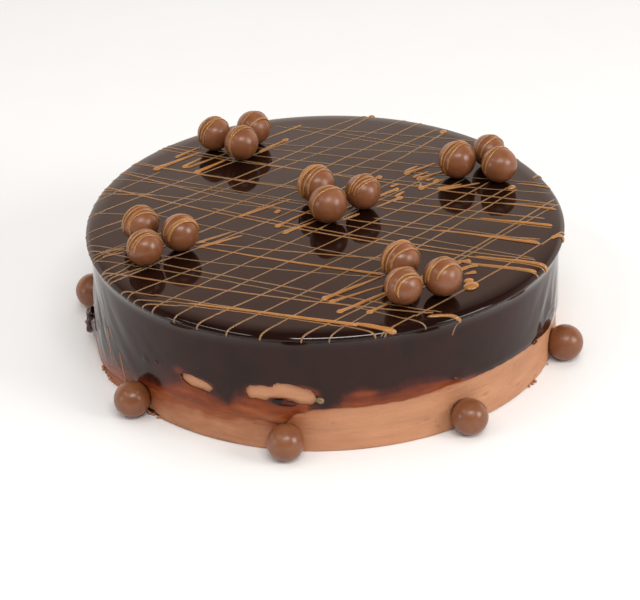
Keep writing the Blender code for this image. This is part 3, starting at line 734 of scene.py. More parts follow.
def dress_glaze(tree, shader, colours):
    """Dark mirror glaze, reddish where it is thin, with faint smears in its gloss."""
    deep = add_mottle(tree, colours.glaze, shaded(colours.glaze, 1.5), 25, 160, 0.3)
    thin = add_mottle(tree, colours.thin_glaze, shaded(colours.thin_glaze, 0.6), 120, 700, 0.2)
    film = add_mottle(tree, colours.film_glaze, shaded(colours.film_glaze, 0.75), 150, 900, 0.2,
                      LEVEL_STREAKS)
    mask = add_mask(tree, "thinness")
    colour = add_mix(tree, add_range(tree, mask, *THIN_RANGE), deep["Color"], thin["Color"])
    colour = add_mix(tree, add_range(tree, mask, *FILM_RANGE), colour, film["Color"])
    colour = add_mix(tree, add_range(tree, mask, *MOUSSE_RANGE, 0, MOUSSE_SHARE), colour,
                     colours.mousse)
    smears = add_range(tree, deep["Mask"], 0, 1, 0.04, 0.08)
    dull = add_range(tree, mask, 0.3, 1.0, 0, 0.4)
    roughness = add_maths(tree, "ADD", smears, dull)
    feed(tree, shader, (("Base Color", colour), ("Roughness", roughness), ("IOR", 1.33)))
    add_bump(tree, shader, deep["Fine"], 0.05, 0.2 * MM)


def dress_drizzle(tree, shader, colours):
    """Set caramel: opaque where it is heavy, darker where a line is thin."""
    heavy = add_mottle(tree, colours.drizzle, shaded(colours.drizzle, 0.82), 260, 1500, 0.2)
    colour = add_mix(tree, add_mask(tree, "heft"), colours.drizzle_thin, heavy["Color"])
    feed(tree, shader, (
        ("Base Color", colour), ("Roughness", add_range(tree, heavy["Mask"], 0, 1, 0.16, 0.3)),
        ("IOR", 1.6), ("Subsurface Weight", 0.15), ("Subsurface Radius", (0.6, 0.3, 0.12)),
        ("Subsurface Scale", 0.8 * MM)))
    add_bump(tree, shader, heavy["Fine"], 0.2, 0.1 * MM)


def dress_mousse(tree, shader, colours):
    """Soft matte mousse: paler and darker clouds, darkened in its hollows as painted shade and on crumbs
    as a random tone, stained where soaked.
    """
    cloud = add_mottle(tree, shaded(colours.mousse, 1.06), shaded(colours.mousse, 0.82), 45, 900,
                       0.3, LEVEL_STREAKS)
    # Painted shade in the hollows, and a random darker tone on the crumbs.
    colour = add_mix(tree, add_mask(tree, "hollow_shade_and_tone"), cloud["Color"], colours.mousse_shade_and_tone)
    colour = add_mix(tree, add_mask(tree, "soaked"), colour, colours.soaked)
    feed(tree, shader, (
        ("Base Color", colour), ("Roughness", add_range(tree, cloud["Mask"], 0, 1, 0.5, 0.66)),
        ("Subsurface Weight", 0.2), ("Subsurface Radius", (1.0, 0.45, 0.25)),
        ("Subsurface Scale", 1.2 * MM)))
    add_bump(tree, shader, cloud["Fine"], 0.55, 0.3 * MM)


def dress_ball(tree, shader, colours):
    """Satin milk chocolate, softly mottled."""
    coat = add_mottle(tree, colours.ball, colours.ball_pale, 140, 1100, 0.28)
    roughness = add_range(tree, coat["Mask"], 0, 1, 0.27, 0.38)
    feed(tree, shader, (("Base Color", coat["Color"]), ("Roughness", roughness)))
    add_bump(tree, shader, coat["Fine"], 0.12, 0.15 * MM)


def dress_floor(tree, shader, _):
    """Plain pale floor with the faintest unevenness."""
    tone = add_mottle(tree, (0.86, 0.855, 0.85), (0.84, 0.835, 0.83), 3, 40, 0.3)
    feed(tree, shader, (("Base Color", tone["Color"]), ("Roughness", 0.8)))


def glaze_material():
    """The material of all that is mirror glaze."""
    return dressed("Mirror glaze", dress_glaze)


def mousse_material():
    """The material of all that is mousse."""
    return dressed("Chocolate mousse", dress_mousse)


# ---- mousse ----

MOUSSE_STEPS = 720               # points round the mousse
MOUSSE_RING = 0.45 * MM          # between its rings where it may be seen
WORKED_TO = 31 * MM              # it may be seen up to here
TUCK = (0.9 * MM, 0.8 * MM)      # how far its underside and its lowest edge are tucked in
PITS = 130
PIT_CELL = 5                     # pits are looked up by bearing, this many degrees to a cell
PIT_CELLS = 360 // PIT_CELL
LIP = (-82, 32, 0.5 * MM, 0.8 * MM)  # low lip at the foot: bearing, reach, how far out, height
CRUMB_SIZES = (0.25, 0.8)        # radius in mm


def scatter_pits():
    """Small pits by cell: (bearing in degrees, height, size and depth in mm)."""
    rng = random.Random(SEED)
    pits = {}
    for _ in range(PITS):
        pit = (rng.uniform(-180, 180), rng.uniform(2, 26), rng.uniform(0.5, 1.4),
               rng.uniform(0.3, 0.8))
        for near in (-1, 0, 1):
            pits.setdefault((int(pit[0] // PIT_CELL) + near) % PIT_CELLS, []).append(pit)
    return pits


def wiped(bearing, z):
    """The scraper's streaks and broad waves, about -2 to 2."""
    flow = bearing * 0.9 * FOOT_RADIUS
    streak = (soft_noise((flow / 14, 7.3, z), 1.1 * MM)
              + 0.6 * soft_noise((flow / 7, 1.9, z), 0.6 * MM))
    return 0.75 * streak + 0.9 * soft_noise((flow, 3.1, z), 13 * MM)


def pitted(degrees, z, pits):
    """How deep the pits are at a place, in metres."""
    depth = 0.0
    for at, height, size, deep in pits.get(int(degrees // PIT_CELL) % PIT_CELLS, ()):
        dx = mm_between(degrees, at)
        dz = z / MM - height
        if abs(dx) < 3 * size and abs(dz) < 2 * size:
            far = (dx * dx / 2.6 + dz * dz) / (size * size)
            depth += deep * MM * 0.8 * math.exp(-2.2 * far)
    return depth


def torn(bearing, z):
    """How deep the torn places at the foot are, in metres."""
    depth = 0.0
    for at, half_width, tall, deep in FOOT_TEARS:
        across = abs(turn_between(math.degrees(bearing), at)) / half_width
        if across < 1.3 and z < 2 * tall * MM:
            ragged = 1 + 0.45 * soft_noise((bearing * 0.9 * FOOT_RADIUS, at, z), 1.3 * MM)
            edge = max(0, 1 - across ** 4) * ragged
            depth += deep * MM * min(1, 1.6 * max(0, edge - z / (tall * MM)))
    return depth


def dented(place, out, balls):
    """A place on the side, moved in where a foot ball is pressed into the mousse."""
    for centre, radius in balls:
        if (place - centre).length < radius:
            flat = Vector((place.x - centre.x, place.y - centre.y, 0))
            along = flat.dot(out)
            across2 = flat.length_squared - along * along
            rest = radius * radius - across2 - (place.z - centre.z) ** 2
            place = place - out * (along + math.sqrt(max(rest, 0)))
    return place


def mousse_ring(z, wipe_depth, pits, balls):
    """A ring of the mousse's side with all that is worked into it."""
    tuck = max(0, 1 - z / MM) ** 2 * TUCK[1]

    def ring(bearing):
        out = outward(bearing)
        degrees = math.degrees(bearing)
        at, reach, lip_out, lip_height = LIP
        lip = max(0, 1 - (turn_between(degrees, at) / reach) ** 4)
        stand = wipe_depth * min(z / (1.5 * MM), 1) * wiped(bearing, z)
        stand += lip_out * lip * math.exp(-(z / lip_height) ** 2)
        stand -= pitted(degrees, z, pits) + torn(bearing, z)
        place = around(mousse_radius(z), z, bearing) + out * stand
        return dented(place, out, balls) - out * tuck
    return ring


def painted_hollow_shade(x, y, z):
    """How far a place on the mousse lies below its even surface, from 0 to 1: the share of painted shade
    in its hollows.
    """
    even = mousse_radius(z) * outline_factor(math.atan2(y, x), z)
    return clamp((even - math.hypot(x, y) - 0.15 * MM) / (0.7 * MM))


def soaked_share(x, y, z):
    """How far glaze has soaked into the mousse at a place, from 0 to 1."""
    bearing = math.atan2(y, x)
    below = hem_height(bearing) - z
    if below <= -1 * MM:
        return 0.0
    strength, down = at_bearing(SOAKED_ROWS, math.degrees(bearing))
    uneven = (1 + 0.5 * soft_noise((x, y, 2 * z), 6 * MM)
              + 0.3 * soft_noise((x, y, 5 * z), 3 * MM))
    far = max(below, 0) / (down * MM)
    near_and_far = 0.55 * math.exp(-(far / 0.45) ** 2) + 0.55 * math.exp(-far / 1.6)
    return min(strength * uneven * near_and_far, 1)


def make_mousse():
    """The mousse body: a soft foot, streaks left by the scraper, pits, and dents for the balls."""
    wipe_depth = bpy.context.scene.cake_form.wipe_depth
    balls = [(foot_ball_place(*row), row[1] * MM + GAP) for row in FOOT_BALLS]
    pits = scatter_pits()
    rings = [plain_ring(FOOT_RADIUS - TUCK[0], 0)]
    z = 0.25 * MM
    while z < WORKED_TO:
        rings.append(mousse_ring(z, wipe_depth, pits, balls))
        z += MOUSSE_RING
    rings += [plain_ring(mousse_radius(z), z) for z in (36 * MM, UNDER_RIM_Z)]
    rings += rounded_edge(SHOULDER_RADIUS, CAKE_HEIGHT - 2.3 * MM)
    bm = turned_body(rings, MOUSSE_STEPS)
    piece = add_piece("mousse_body", bm, mousse_material(), ("mousse_cake",))
    # Masks: painted shade in the hollows, and the stain where glaze soaked in.
    for name, share in (("hollow_shade_and_tone", painted_hollow_shade), ("soaked", soaked_share)):
        set_mask(piece, name, [share(*vertex.co) for vertex in piece.data.vertices])


def make_crumbs():
    """Crumbs along the foot where the mousse is torn."""
    rng = random.Random(SEED + 1)
    bm = bmesh.new()
    values = []
    for at, reach, count in CRUMBS:
        for _ in range(count):
            bearing = math.radians(rng.gauss(at, reach))
            size = rng.uniform(*CRUMB_SIZES) * MM
            place = around(FOOT_RADIUS + rng.uniform(-0.6, 0.7) * MM, 0, bearing)
            place.z = size * 0.7
            made = bmesh.ops.create_icosphere(bm, subdivisions=2, radius=size)
            for vertex in made["verts"]:
                vertex.co *= 1 + 0.45 * soft_noise(vertex.co + place, 0.9 * size)
                vertex.co += place
                vertex.co.z = max(vertex.co.z, 0.02 * MM)
            values.extend([rng.uniform(0.1, 0.8)] * len(made["verts"]))
    piece = add_piece("foot_crumbs", bm, mousse_material())
    # The crumbs take a random darker tone through the painted-shade mask.
    set_mask(piece, "hollow_shade_and_tone", values)


class CAKE_OT_mousse(bpy.types.Operator):
    """Build the mousse body"""
    bl_idname = "cake.mousse"
    bl_label = "Mousse body"

    def execute(self, context):
        make_mousse()
        make_crumbs()
        return {"FINISHED"}


# ---- glaze ----

GLAZE_STEPS = 560                # points round the glaze
TOP_RING = 1.9 * MM              # between the rings of its level top
SIDE_RINGS = 44
SIDE_THINNESS = 0.078            # the glaze on the side is this thin everywhere
SIDE_BAND = (52 * MM, 48 * MM)   # from no thinness to that, going down over the rim
STAINS_BELOW = 38 * MM
HEM_TAPER = 3.0 * MM             # the glaze thins over this height above its hem
HEM_LIP = ((0.1, -0.18), (0.24, -0.22), (0.35, -0.05), (0.35, 0.35))  # (inward, up) in mm
TOP_SWELL = 0.05 * MM            # how far the level top wavers
MENISCUS = (0.32 * MM, 2.6 * MM) # height and reach of the glaze drawn up round a ball's foot
HALO = (0.56, 0.27)              # thinness at a bare patch, and reach as a share of its size
PATCH_FACETS = 72
PLUG_DEPTHS = (-0.1 * MM, 8 * MM)  # ends of the plugs that open the bare patches
# Two of the bare patches run together here.
PATCH_JOIN = (-102.4, 27.6, 5.5, 2.7)
OPENINGS = (*BARE_PATCHES, PATCH_JOIN)
OPENING_SLANTS = (0.15, -0.05, 0.24, 0.0)  # how far each runs down to the right
# Wrinkled stretches of the glaze: bearing and reach in degrees, lean of the folds, size in mm.
WRINKLES = ((-166, 16, 1.0, 0.7), (-140, 13, 0.9, 0.14), (-20, 12, -0.6, 0.45),
            (-48, 10, -0.5, 0.1), (120, 40, 0.3, 0.2), (30, 25, -0.3, 0.2))


def hem_waver(bearing, amount):
    """Small wandering of the hem."""
    x, y = math.cos(bearing), math.sin(bearing)
    return amount * (soft_noise((x, y, 0.3), 0.11) + 0.55 * soft_noise((x, y, 0.8), 0.035))


def thinness(x, y, z):
    """How thin the glaze is at a place on the side, from 0 to 1."""
    bearing = math.atan2(y, x)
    degrees = math.degrees(bearing)
    level = z / (1 + TOP_SLOPE * y / CAKE_HEIGHT) / MM
    hem = hem_height(bearing) / MM
    flow = bearing * FOOT_RADIUS
    drift = level * MM + 0.12 * flow
    streak = (soft_noise((flow / 9, 3.3, drift), 1.7 * MM)
              + 0.6 * soft_noise((flow / 5, 6.1, drift), 0.8 * MM))
    dark_from, strength = at_bearing(DARK_ROWS, degrees)
    dark_from += 1.2 * soft_noise((flow, 1.0, 0), 9 * MM)
    dark_from += 0.8 * soft_noise((flow, 2.0, level * MM), 2.5 * MM)
    up = clamp((level - hem) / max(dark_from - hem, 0.5))
    value = strength * (1 - up ** 1.25) + 0.16 * streak * strength * (1 - up)
    for at, height, half_width, half_height, goes_to, share in STAIN_MARKS:
        across = turn_between(degrees, at) / half_width
        rise = (level - height) / half_height
        if abs(across) < 2 and abs(rise) < 2:
            mark = share * math.exp(-(across * across + rise * rise) ** 1.5)
            value = between(value, goes_to, mark)
    for at, height, half_width, half_height in OPENINGS:
        far = math.hypot(mm_between(degrees, at) / half_width, (level - height) / half_height)
        value = max(value, HALO[0] * clamp(1 - (far - 1) / HALO[1]))
    return clamp(value)


def glaze_mask(x, y, z):
    """The glaze's thinness anywhere: none on top, a trace on the side, stains low down."""
    on_side = clamp((SIDE_BAND[0] - z) / (SIDE_BAND[0] - SIDE_BAND[1]))
    least = SIDE_THINNESS * on_side * (1 + 0.6 * soft_noise((x, y, z * 0.4), 9 * MM))
    return max(thinness(x, y, z) if z < STAINS_BELOW else 0.0, least)


def patch_cutter(row, slant, seed, collection):
    """A plug with an uneven oval outline, square to the side, that opens one bare patch."""
    degrees, height, half_width, half_height = row
    bearing = math.radians(degrees)
    middle = around(mousse_radius(height * MM), height * MM, bearing)
    bm = bmesh.new()
    loops = []
    for depth in PLUG_DEPTHS:
        loop = []
        for i in range(PATCH_FACETS):
            turn = 2 * math.pi * i / PATCH_FACETS
            x, y = math.cos(turn), math.sin(turn)
            uneven = (1 + 0.16 * soft_noise((x, y, seed), 0.5)
                      + 0.08 * soft_noise((x, y, seed), 0.15))
            wide = math.copysign(abs(x) ** 0.8, x) * half_width * MM * uneven
            tall = math.copysign(abs(y) ** 0.8, y) * half_height * MM * uneven - slant * wide
            loop.append(bm.verts.new(middle + outward(bearing) * depth + sideways(bearing) * wide
                                     + Vector((0, 0, tall))))
        loops.append(loop)
    bridge(bm, *loops)
    bm.faces.new(loops[0])
    bm.faces.new(loops[-1])
    bmesh.ops.recalc_face_normals(bm, faces=bm.faces)
    mesh = bpy.data.meshes.new("patch_cutter")
    bm.to_mesh(mesh)
    bm.free()
    collection.objects.link(bpy.data.objects.new("patch_cutter", mesh))


def cut_patches(piece):
    """Open the bare patches in the glaze."""
    collection = bpy.data.collections.new("patches")
    bpy.context.scene.collection.children.link(collection)
    for seed, (row, slant) in enumerate(zip(OPENINGS, OPENING_SLANTS)):
        patch_cutter(row, slant, seed, collection)
    boolean = piece.modifiers.new("patches", "BOOLEAN")
    boolean.operand_type = "COLLECTION"
    boolean.collection = collection
    boolean.operation = "DIFFERENCE"
    boolean.solver = "EXACT"
    graph = bpy.context.evaluated_depsgraph_get()
    mesh = bpy.data.meshes.new_from_object(piece.evaluated_get(graph))
    piece.modifiers.clear()
    old = piece.data
    piece.data = mesh
    bpy.data.meshes.remove(old)
    for other in list(collection.objects):
        bpy.data.objects.remove(other)
    bpy.data.collections.remove(collection)
    mesh.name = piece.name


def top_ring(radius, feet):
    """A ring of the level top, which is drawn up a little round each ball's foot."""
    swell = TOP_SWELL * min(1, (RIM_START - radius) / (8 * MM))
    height, reach = MENISCUS

    def ring(bearing):
        place = around(radius, CAKE_HEIGHT, bearing)
        lift = swell * soft_noise((place.x, place.y, 0), 24 * MM)
        for foot in feet:
            near = math.hypot(place.x - foot.x, place.y - foot.y)
            if near < 3 * reach:
                lift += height * math.exp(-(near / reach) ** 2)
        return place + Vector((0, 0, lift))
    return ring


def wrinkles(bearing, z):
    """How far the folds of the glaze stand out at a place on the side, in millimetres."""
    stand = 0.0
    for at, reach, lean, size in WRINKLES:
        near = math.exp(-(turn_between(math.degrees(bearing), at) / reach) ** 2)
        if near > 0.02:
            flow = bearing * FOOT_RADIUS + lean * z
            stand += near * size * (soft_noise((flow, 4.2, z * 0.3), 7 * MM)
                                    + 0.3 * soft_noise((flow, 8.1, z * 0.45), 2.6 * MM))
    return stand


def lumps(bearing, z):
    """How far the lumps stand out at a place on the side, in millimetres."""
    stand = 0.0
    for at, height, radius, tall in SIDE_LUMPS:
        dx = mm_between(math.degrees(bearing), at)
        if abs(dx) < 2.5 * radius:
            far = (dx * dx + (z / MM - height) ** 2) / (radius * radius)
            stand += tall * math.exp(-far) * (1 + 0.4 * soft_noise((dx, z / MM, at), 1.3))
    return stand


def side_ring(share, form):
    """A ring of the glaze's outer face, at a share of the way down from the rim to the hem."""
    loose = 4 * share * (1 - share)  # folds fade out at the rim and at the hem

    def ring(bearing):
        hem = hem_height(bearing) + hem_waver(bearing, form.hem_waver)
        z = between(UNDER_RIM_Z, hem, share)
        rise = min((z - hem) / HEM_TAPER, 1)
        thick = between(form.glaze_at_hem, form.glaze_on_side, math.sin(rise * math.pi / 2))
        place = around(mousse_radius(z) + GAP + thick, z, bearing)
        run = 0.10 * soft_noise((place.x, place.y, z * 0.25), 10 * MM)
        stand = (run + wrinkles(bearing, z)) * loose + lumps(bearing, z)
        return place + outward(bearing) * stand * MM
    return ring


def lip_ring(inward, up, form):
    """A ring of the rounded edge at the hem."""
    def ring(bearing):
        hem = hem_height(bearing) + hem_waver(bearing, form.hem_waver)
        radius = mousse_radius(hem) + GAP + form.glaze_at_hem + (0.02 - inward) * MM
        return around(radius, hem + up * MM, bearing)
    return ring


def inner_ring(share):
    """A ring of the glaze's inner face, at a share of the way up from the hem."""
    def ring(bearing):
        hem = hem_height(bearing)
        z = between(hem, UNDER_RIM_Z, share) + 0.5 * MM
        return around(mousse_radius(z) + GAP, z, bearing)
    return ring


def make_glaze():
    """The mirror glaze: level top, rolled rim, and a skin down to the wavering hem."""
    form = bpy.context.scene.cake_form
    feet = [top_ball_place(*row) for row in TOP_BALLS]
    rings = []
    radius = 1.2 * MM
    while radius < RIM_START - 0.6 * MM:
        rings.append(top_ring(radius, feet))
        radius += TOP_RING
    for i, (r, z, tilt) in enumerate(RIM_PROFILE[:-1]):
        # Every sixth ring is enough where the profile is nearly level, and every other one below.
        if tilt < 0.2 and i % 6 or tilt > 1.6 and i % 2:
            continue
        rings.append(plain_ring(r, z))
    rings += [side_ring((i / SIDE_RINGS) ** 0.85, form) for i in range(1, SIDE_RINGS + 1)]
    rings += [lip_ring(inward, up, form) for inward, up in HEM_LIP]
    rings += [inner_ring(share) for share in (0.25, 0.5, 0.75)]
    rings.append(plain_ring(mousse_radius(UNDER_RIM_Z) + GAP, UNDER_RIM_Z))
    under = CAKE_HEIGHT - 2.0 * MM
    rings += rounded_edge(SHOULDER_RADIUS + GAP, under)
    rings.append(plain_ring(50 * MM, under))
    bm = turned_body(rings, GLAZE_STEPS)
    piece = add_piece("mirror_glaze", bm, glaze_material(), ("chocolate_glaze",))
    cut_patches(piece)
    piece.data.shade_smooth()
    piece.data.set_sharp_from_angle(angle=math.radians(55))
    set_mask(piece, "thinness", [glaze_mask(*vertex.co) for vertex in piece.data.vertices])


def make_side_blobs():
    """Small blobs of glaze on the side."""
    bm = bmesh.new()
    values = []
    for at, height, half_width, half_height, thick, slant, thin, uneven in SIDE_BLOBS:
        bearing = math.radians(at)
        middle = around(mousse_radius(height * MM) + GAP + ON_SKIN, height * MM, bearing)
        made = bmesh.ops.create_uvsphere(bm, u_segments=28, v_segments=16, radius=1.0)
        for vertex in made["verts"]:
            x, y, up = vertex.co
            lump = 1 + uneven * soft_noise((x, y, up), 0.45, at)
            curve = (x * half_width * MM) ** 2 / (2 * FOOT_RADIUS)
            vertex.co = (middle + sideways(bearing) * x * half_width * MM * lump
                         + outward(bearing) * (y * thick * MM * lump - curve)
                         + Vector((0, 0, (up * half_height * lump - slant * x * half_width) * MM)))
        values.extend([thin] * len(made["verts"]))
    piece = add_piece("glaze_blobs", bm, glaze_material())
    set_mask(piece, "thinness", values)


class CAKE_OT_glaze(bpy.types.Operator):
    """Build the poured mirror glaze"""
    bl_idname = "cake.glaze"
    bl_label = "Mirror glaze"

    def execute(self, context):
        make_glaze()
        make_side_blobs()
        return {"FINISHED"}


# ---- drizzle ----

BEND_LENGTH = 3 * MM             # a line turns to run down over this length
LINE_STEP = 0.4                  # spacing of places on a line's route, mm
PASS_STEP = 0.25                 # the same on a short pass
FINE_STEP = 0.4 * MM             # spacing of a short line's sections
CLEAR_SHARE = 0.62               # a pass stops this far from a ball's middle, in its radii
END_TAPER = (0.35, 0.72, 0.9)    # width of the first and last sections
UNDERSIDE = 0.28                 # depth of a line below its course, as a share of its height
LINE_RAISE = 0.05                # how far a line is raised, as a share of its height
# Widths of a heavy line at its start, and how much it grows.
HEAVY_START = 0.35
HEAVY_GROWTH = 2.6
# Widths at the start and at the end of the first stretch of a pass, and of the others.
PASS_WIDTHS = ((1.3, 0.55), (0.55, 1.2))
PASS_SHARE = 0.7                 # width of a pass as a share of the table's
STRAND_SHARE = 0.9               # the same for a strand on a ball
STRAND_HEIGHT = 0.34
DROP_SHARE = 0.82                # radius of a drop as a share of the table's
DROP_SHAPE = (1.15, 0.84, 0.46)  # along, across and up


def bent(route):
    """A route from the top outwards, turned to run straight down once it is over the rim."""
    last = next((i for i, place in enumerate(route) if math.hypot(*place) > BEND_RADIUS),
                len(route))
    kept = route[:last]
    if not kept:
        return route
    (x0, y0), (x1, y1) = kept[-2:]
    bearing, reach = math.atan2(y1, x1), math.hypot(x1, y1)
    step = math.hypot(x1 - x0, y1 - y0)
    out = clamp((reach - math.hypot(x0, y0)) / step)
    across = math.sqrt(1 - out * out)
    if turn_between(math.degrees(bearing), math.degrees(math.atan2(y0, x0))) < 0:
        across = -across
    while reach < END_RADIUS:
        aside = across * (1 - clamp((reach - BEND_RADIUS) / BEND_LENGTH))
        reach += step * math.sqrt(1 - aside * aside)
        bearing += step * aside / reach
        kept.append(in_plan(reach, bearing))
    return kept


def line_route(heading, row):
    """Closely spaced places in plan of one line, within its ends or over the rim."""
    left, middle, right, start, end, _ = row
    reach = RIM_RADIUS / MM + 2
    first = -reach if start is None else start
    last = reach if end is None else end
    count = int((last - first) / LINE_STEP)
    route = []
    for i in range(count + 1):
        along = between(first, last, i / count)
        u = along / STATION
        offset = middle + (right - left) / 2 * u + ((left + right) / 2 - middle) * u * u
        place = family_place(heading, along, offset)
        if math.hypot(*place) <= END_RADIUS:
            route.append(place)
    half = len(route) // 2
    near, far = route[:half], route[half:]
    if start is None:
        near = bent(near[::-1])[::-1]
    if end is None:
        far = bent(far)
    return near + far


def pass_routes(row):
    """Places in plan of a short pass on the glaze, parted where a ball stands in its way."""
    left, start, right, end, _ = row
    count = int((end - start) / PASS_STEP)
    routes = [[]]
    for i in range(count + 1):
        share = i / count
        place = family_place(RISING, between(start, end, share), between(left, right, share))
        if any(math.dist(place, on_top(x, y)) < CLEAR_SHARE * radius * MM
               for x, y, radius in TOP_BALLS):
            if routes[-1]:
                routes.append([])
        else:
            routes[-1].append(place)
    return routes


def on_glaze(route):
    """Points and normals on the glaze along a route."""
    return [glaze_point(x, y) for x, y in route]


def strand_course(row):
    """Points and normals of a strand that clings to a ball."""
    number, heading, behind, start, end, _ = row
    x, y, radius = TOP_BALLS[number - 1]
    middle = top_ball_place(x, y, radius)
    along = outward(math.radians(heading))
    across = sideways(math.radians(heading))
    ring = math.sqrt(1 - behind * behind)
    course = []
    for angle in range(start, end + 1, 3):
        turn = math.radians(angle)
        wander = 0.04 * math.sin(turn * 2.3 + number * 1.9 + behind * 9)
        out = (across * (behind + wander) + along * ring * math.cos(turn)
               + Vector((0, 0, ring * math.sin(turn)))).normalized()
        course.append((middle + out * radius * MM, out))
    return course


def softened(route):
    """A route with its corners rounded off."""
    for _ in range(12):
        route = ([route[0]]
                 + [((a[0] + 2 * b[0] + c[0]) / 4, (a[1] + 2 * b[1] + c[1]) / 4)
                    for a, b, c in zip(route, route[1:], route[2:])]
                 + [route[-1]])
    return route


def evenly(points, step):
    """Points of a course at an even spacing along it."""
    kept = [points[0]]
    run = 0.0
    for (a, _), (b, normal) in zip(points, points[1:]):
        run += (b - a).length
        if run >= step:
            kept.append((b, normal))
            run = 0.0
    if (kept[-1][0] - points[-1][0]).length > step * 0.3:
        kept.append(points[-1])
    return kept


def heft_of(width):
    """How opaque a line is, from its width in millimetres."""
    return clamp((width - 0.9) / 1.3, 0.1)


class Piping:
    """Drizzle as it is piped: its mesh so far, and how opaque it is at each vertex."""

    def __init__(self):
        self.bm = bmesh.new()
        self.hefts = []

    def line(self, course, width, tall, seed, heft, grow=1.0):
        """A flattened round section along a course of points and normals, with tapered ends. Its
        width changes by the factor grow from start to end, and its noise differs by the seed."""
        form = bpy.context.scene.drizzle_form
        last = len(course) - 1
        if last < 3:
            return
        loops = []
        for i, (place, normal) in enumerate(course):
            ahead = (course[min(i + 1, last)][0] - course[max(i - 1, 0)][0]).normalized()
            across = ahead.cross(normal)
            if across.length < 0.05:
                across = ahead.orthogonal()
            across.normalize()
            up = across.cross(ahead).normalized()
            swell = 1 + form.swell * (soft_noise(place, 5 * MM, seed)
                                      + 0.5 * soft_noise(place, 1.8 * MM, seed))
            sway = form.waver * soft_noise(place, 9 * MM, seed + 31)
            near_end = min(i, last - i)
            taper = END_TAPER[near_end] if near_end < len(END_TAPER) else 1.0
            taper *= 1 + (grow - 1) * i / last
            half = 0.5 * width * swell * taper
            height = tall * width * swell * taper
            loop = []
            for k in range(form.sides):
                turn = 2 * math.pi * k / form.sides
                aside = math.cos(turn) * half + sway
                rise = math.sin(turn) * (height if math.sin(turn) > 0 else UNDERSIDE * height)
                point = place + across * aside + up * (rise + LINE_RAISE * height)
                loop.append(self.bm.verts.new(point))
            loops.append(loop)
            self.hefts.extend([heft] * form.sides)
        for near, far in zip(loops, loops[1:]):
            bridge(self.bm, near, far)
        self.bm.faces.new(loops[0])
        self.bm.faces.new(loops[-1])

    def drop(self, along, offset, radius):
        """A low round drop on the glaze."""
        place, _ = glaze_point(*family_place(RISING, along, offset))
        made = bmesh.ops.create_uvsphere(self.bm, u_segments=20, v_segments=12,
                                         radius=radius * MM * DROP_SHARE)
        shape = (Matrix.Translation(place) @ Matrix.Rotation(math.radians(RISING), 4, "Z")
                 @ Matrix.Diagonal((*DROP_SHAPE, 1.0)))
        bmesh.ops.transform(self.bm, matrix=shape, verts=made["verts"])
        for vertex in made["verts"]:
            vertex.co += vertex.co.normalized() * 0.2 * MM * soft_noise(vertex.co, 1.6 * MM)
            vertex.co.z = max(vertex.co.z, place.z - 0.3 * MM)
        self.hefts.extend([1.0] * len(made["verts"]))

    def finish(self, name):
        """The piece, from all that was piped."""
        material = dressed("Caramel drizzle", dress_drizzle)
        piece = add_piece(name, self.bm, material)
        set_mask(piece, "heft", self.hefts)


def make_lattice(name, heading, rows):
    """One family of lines across the top."""
    form = bpy.context.scene.drizzle_form
    piping = Piping()
    for number, row in enumerate(rows):
        width = row[-1]
        share, tall, grow = form.fine_share, form.fine_height, 1.0
        if width >= HEAVY_FROM:
            share, tall, grow = HEAVY_START, form.heavy_height, HEAVY_GROWTH
        course = evenly(on_glaze(line_route(heading, row)), ROUTE_STEP)
        piping.line(course, width * MM * share, tall, number * 2.3 + heading, heft_of(width), grow)
    piping.finish(name)


def make_cluster_drizzle():
    """The heavier passes and dabs beside the clusters, and the drops at their ends."""
    form = bpy.context.scene.drizzle_form
    piping = Piping()
    for number, row in enumerate(CLUSTER_PASSES):
        for stretch, route in enumerate(pass_routes(row)):
            if len(route) <= 8:
                continue
            first, last = PASS_WIDTHS[min(stretch, 1)]
            piping.line(evenly(on_glaze(route), FINE_STEP), first * row[-1] * PASS_SHARE * MM,
                        form.heavy_height, number * 3.1, 0.85 * heft_of(row[-1]), last / first)
    for number, (a0, n0, a1, n1, width, end_width) in enumerate(DABS):
        route = [family_place(RISING, between(a0, a1, i / 40), between(n0, n1, i / 40))
                 for i in range(41)]
        piping.line(evenly(on_glaze(route), 0.3 * MM), width * MM, form.heavy_height,
                    number * 2.9 + 60, 0.8, end_width / width)
    for row in DROPS:
        piping.drop(*row)
    piping.finish("drizzle_by_clusters")


def make_ball_drizzle():
    """The strands that cling to the balls on top."""
    piping = Piping()
    for number, row in enumerate(BALL_STRANDS):
        width = row[-1]
        piping.line(evenly(strand_course(row), FINE_STEP), width * STRAND_SHARE * MM, STRAND_HEIGHT,
                    number * 1.3, min(0.6 + 0.12 * width, 0.9))
    piping.finish("drizzle_on_balls")


def make_rim_drizzle():
    """Strands that hook over the rim, thin runs down the side and a small lump there."""
    piping = Piping()
    for number, (width, *places) in enumerate(RIM_HOOKS):
        route = []
        for (a0, r0), (a1, r1) in zip(places, places[1:]):
            for i in range(8):
                bearing = math.radians(between(a0, a1, i / 8))
                route.append(in_plan(between(r0, r1, i / 8) * MM, bearing))
        piping.line(evenly(on_glaze(softened(route)), FINE_STEP), width * MM, STRAND_HEIGHT,
                    number * 4.1, heft_of(width))
    for number, (a0, z0, a1, z1, width, heft) in enumerate(SIDE_DRIPS):
        course = []
        for i in range(41):
            bearing = math.radians(between(a0, a1, i / 40))
            z = between(z0, z1, i / 40) * MM
            course.append((around(mousse_radius(z) + GAP + ON_SKIN, z, bearing), outward(bearing)))
        piping.line(evenly(course, 0.5 * MM), width * MM, 0.4, number * 6.7, heft)
    piping.finish("drizzle_over_rim")


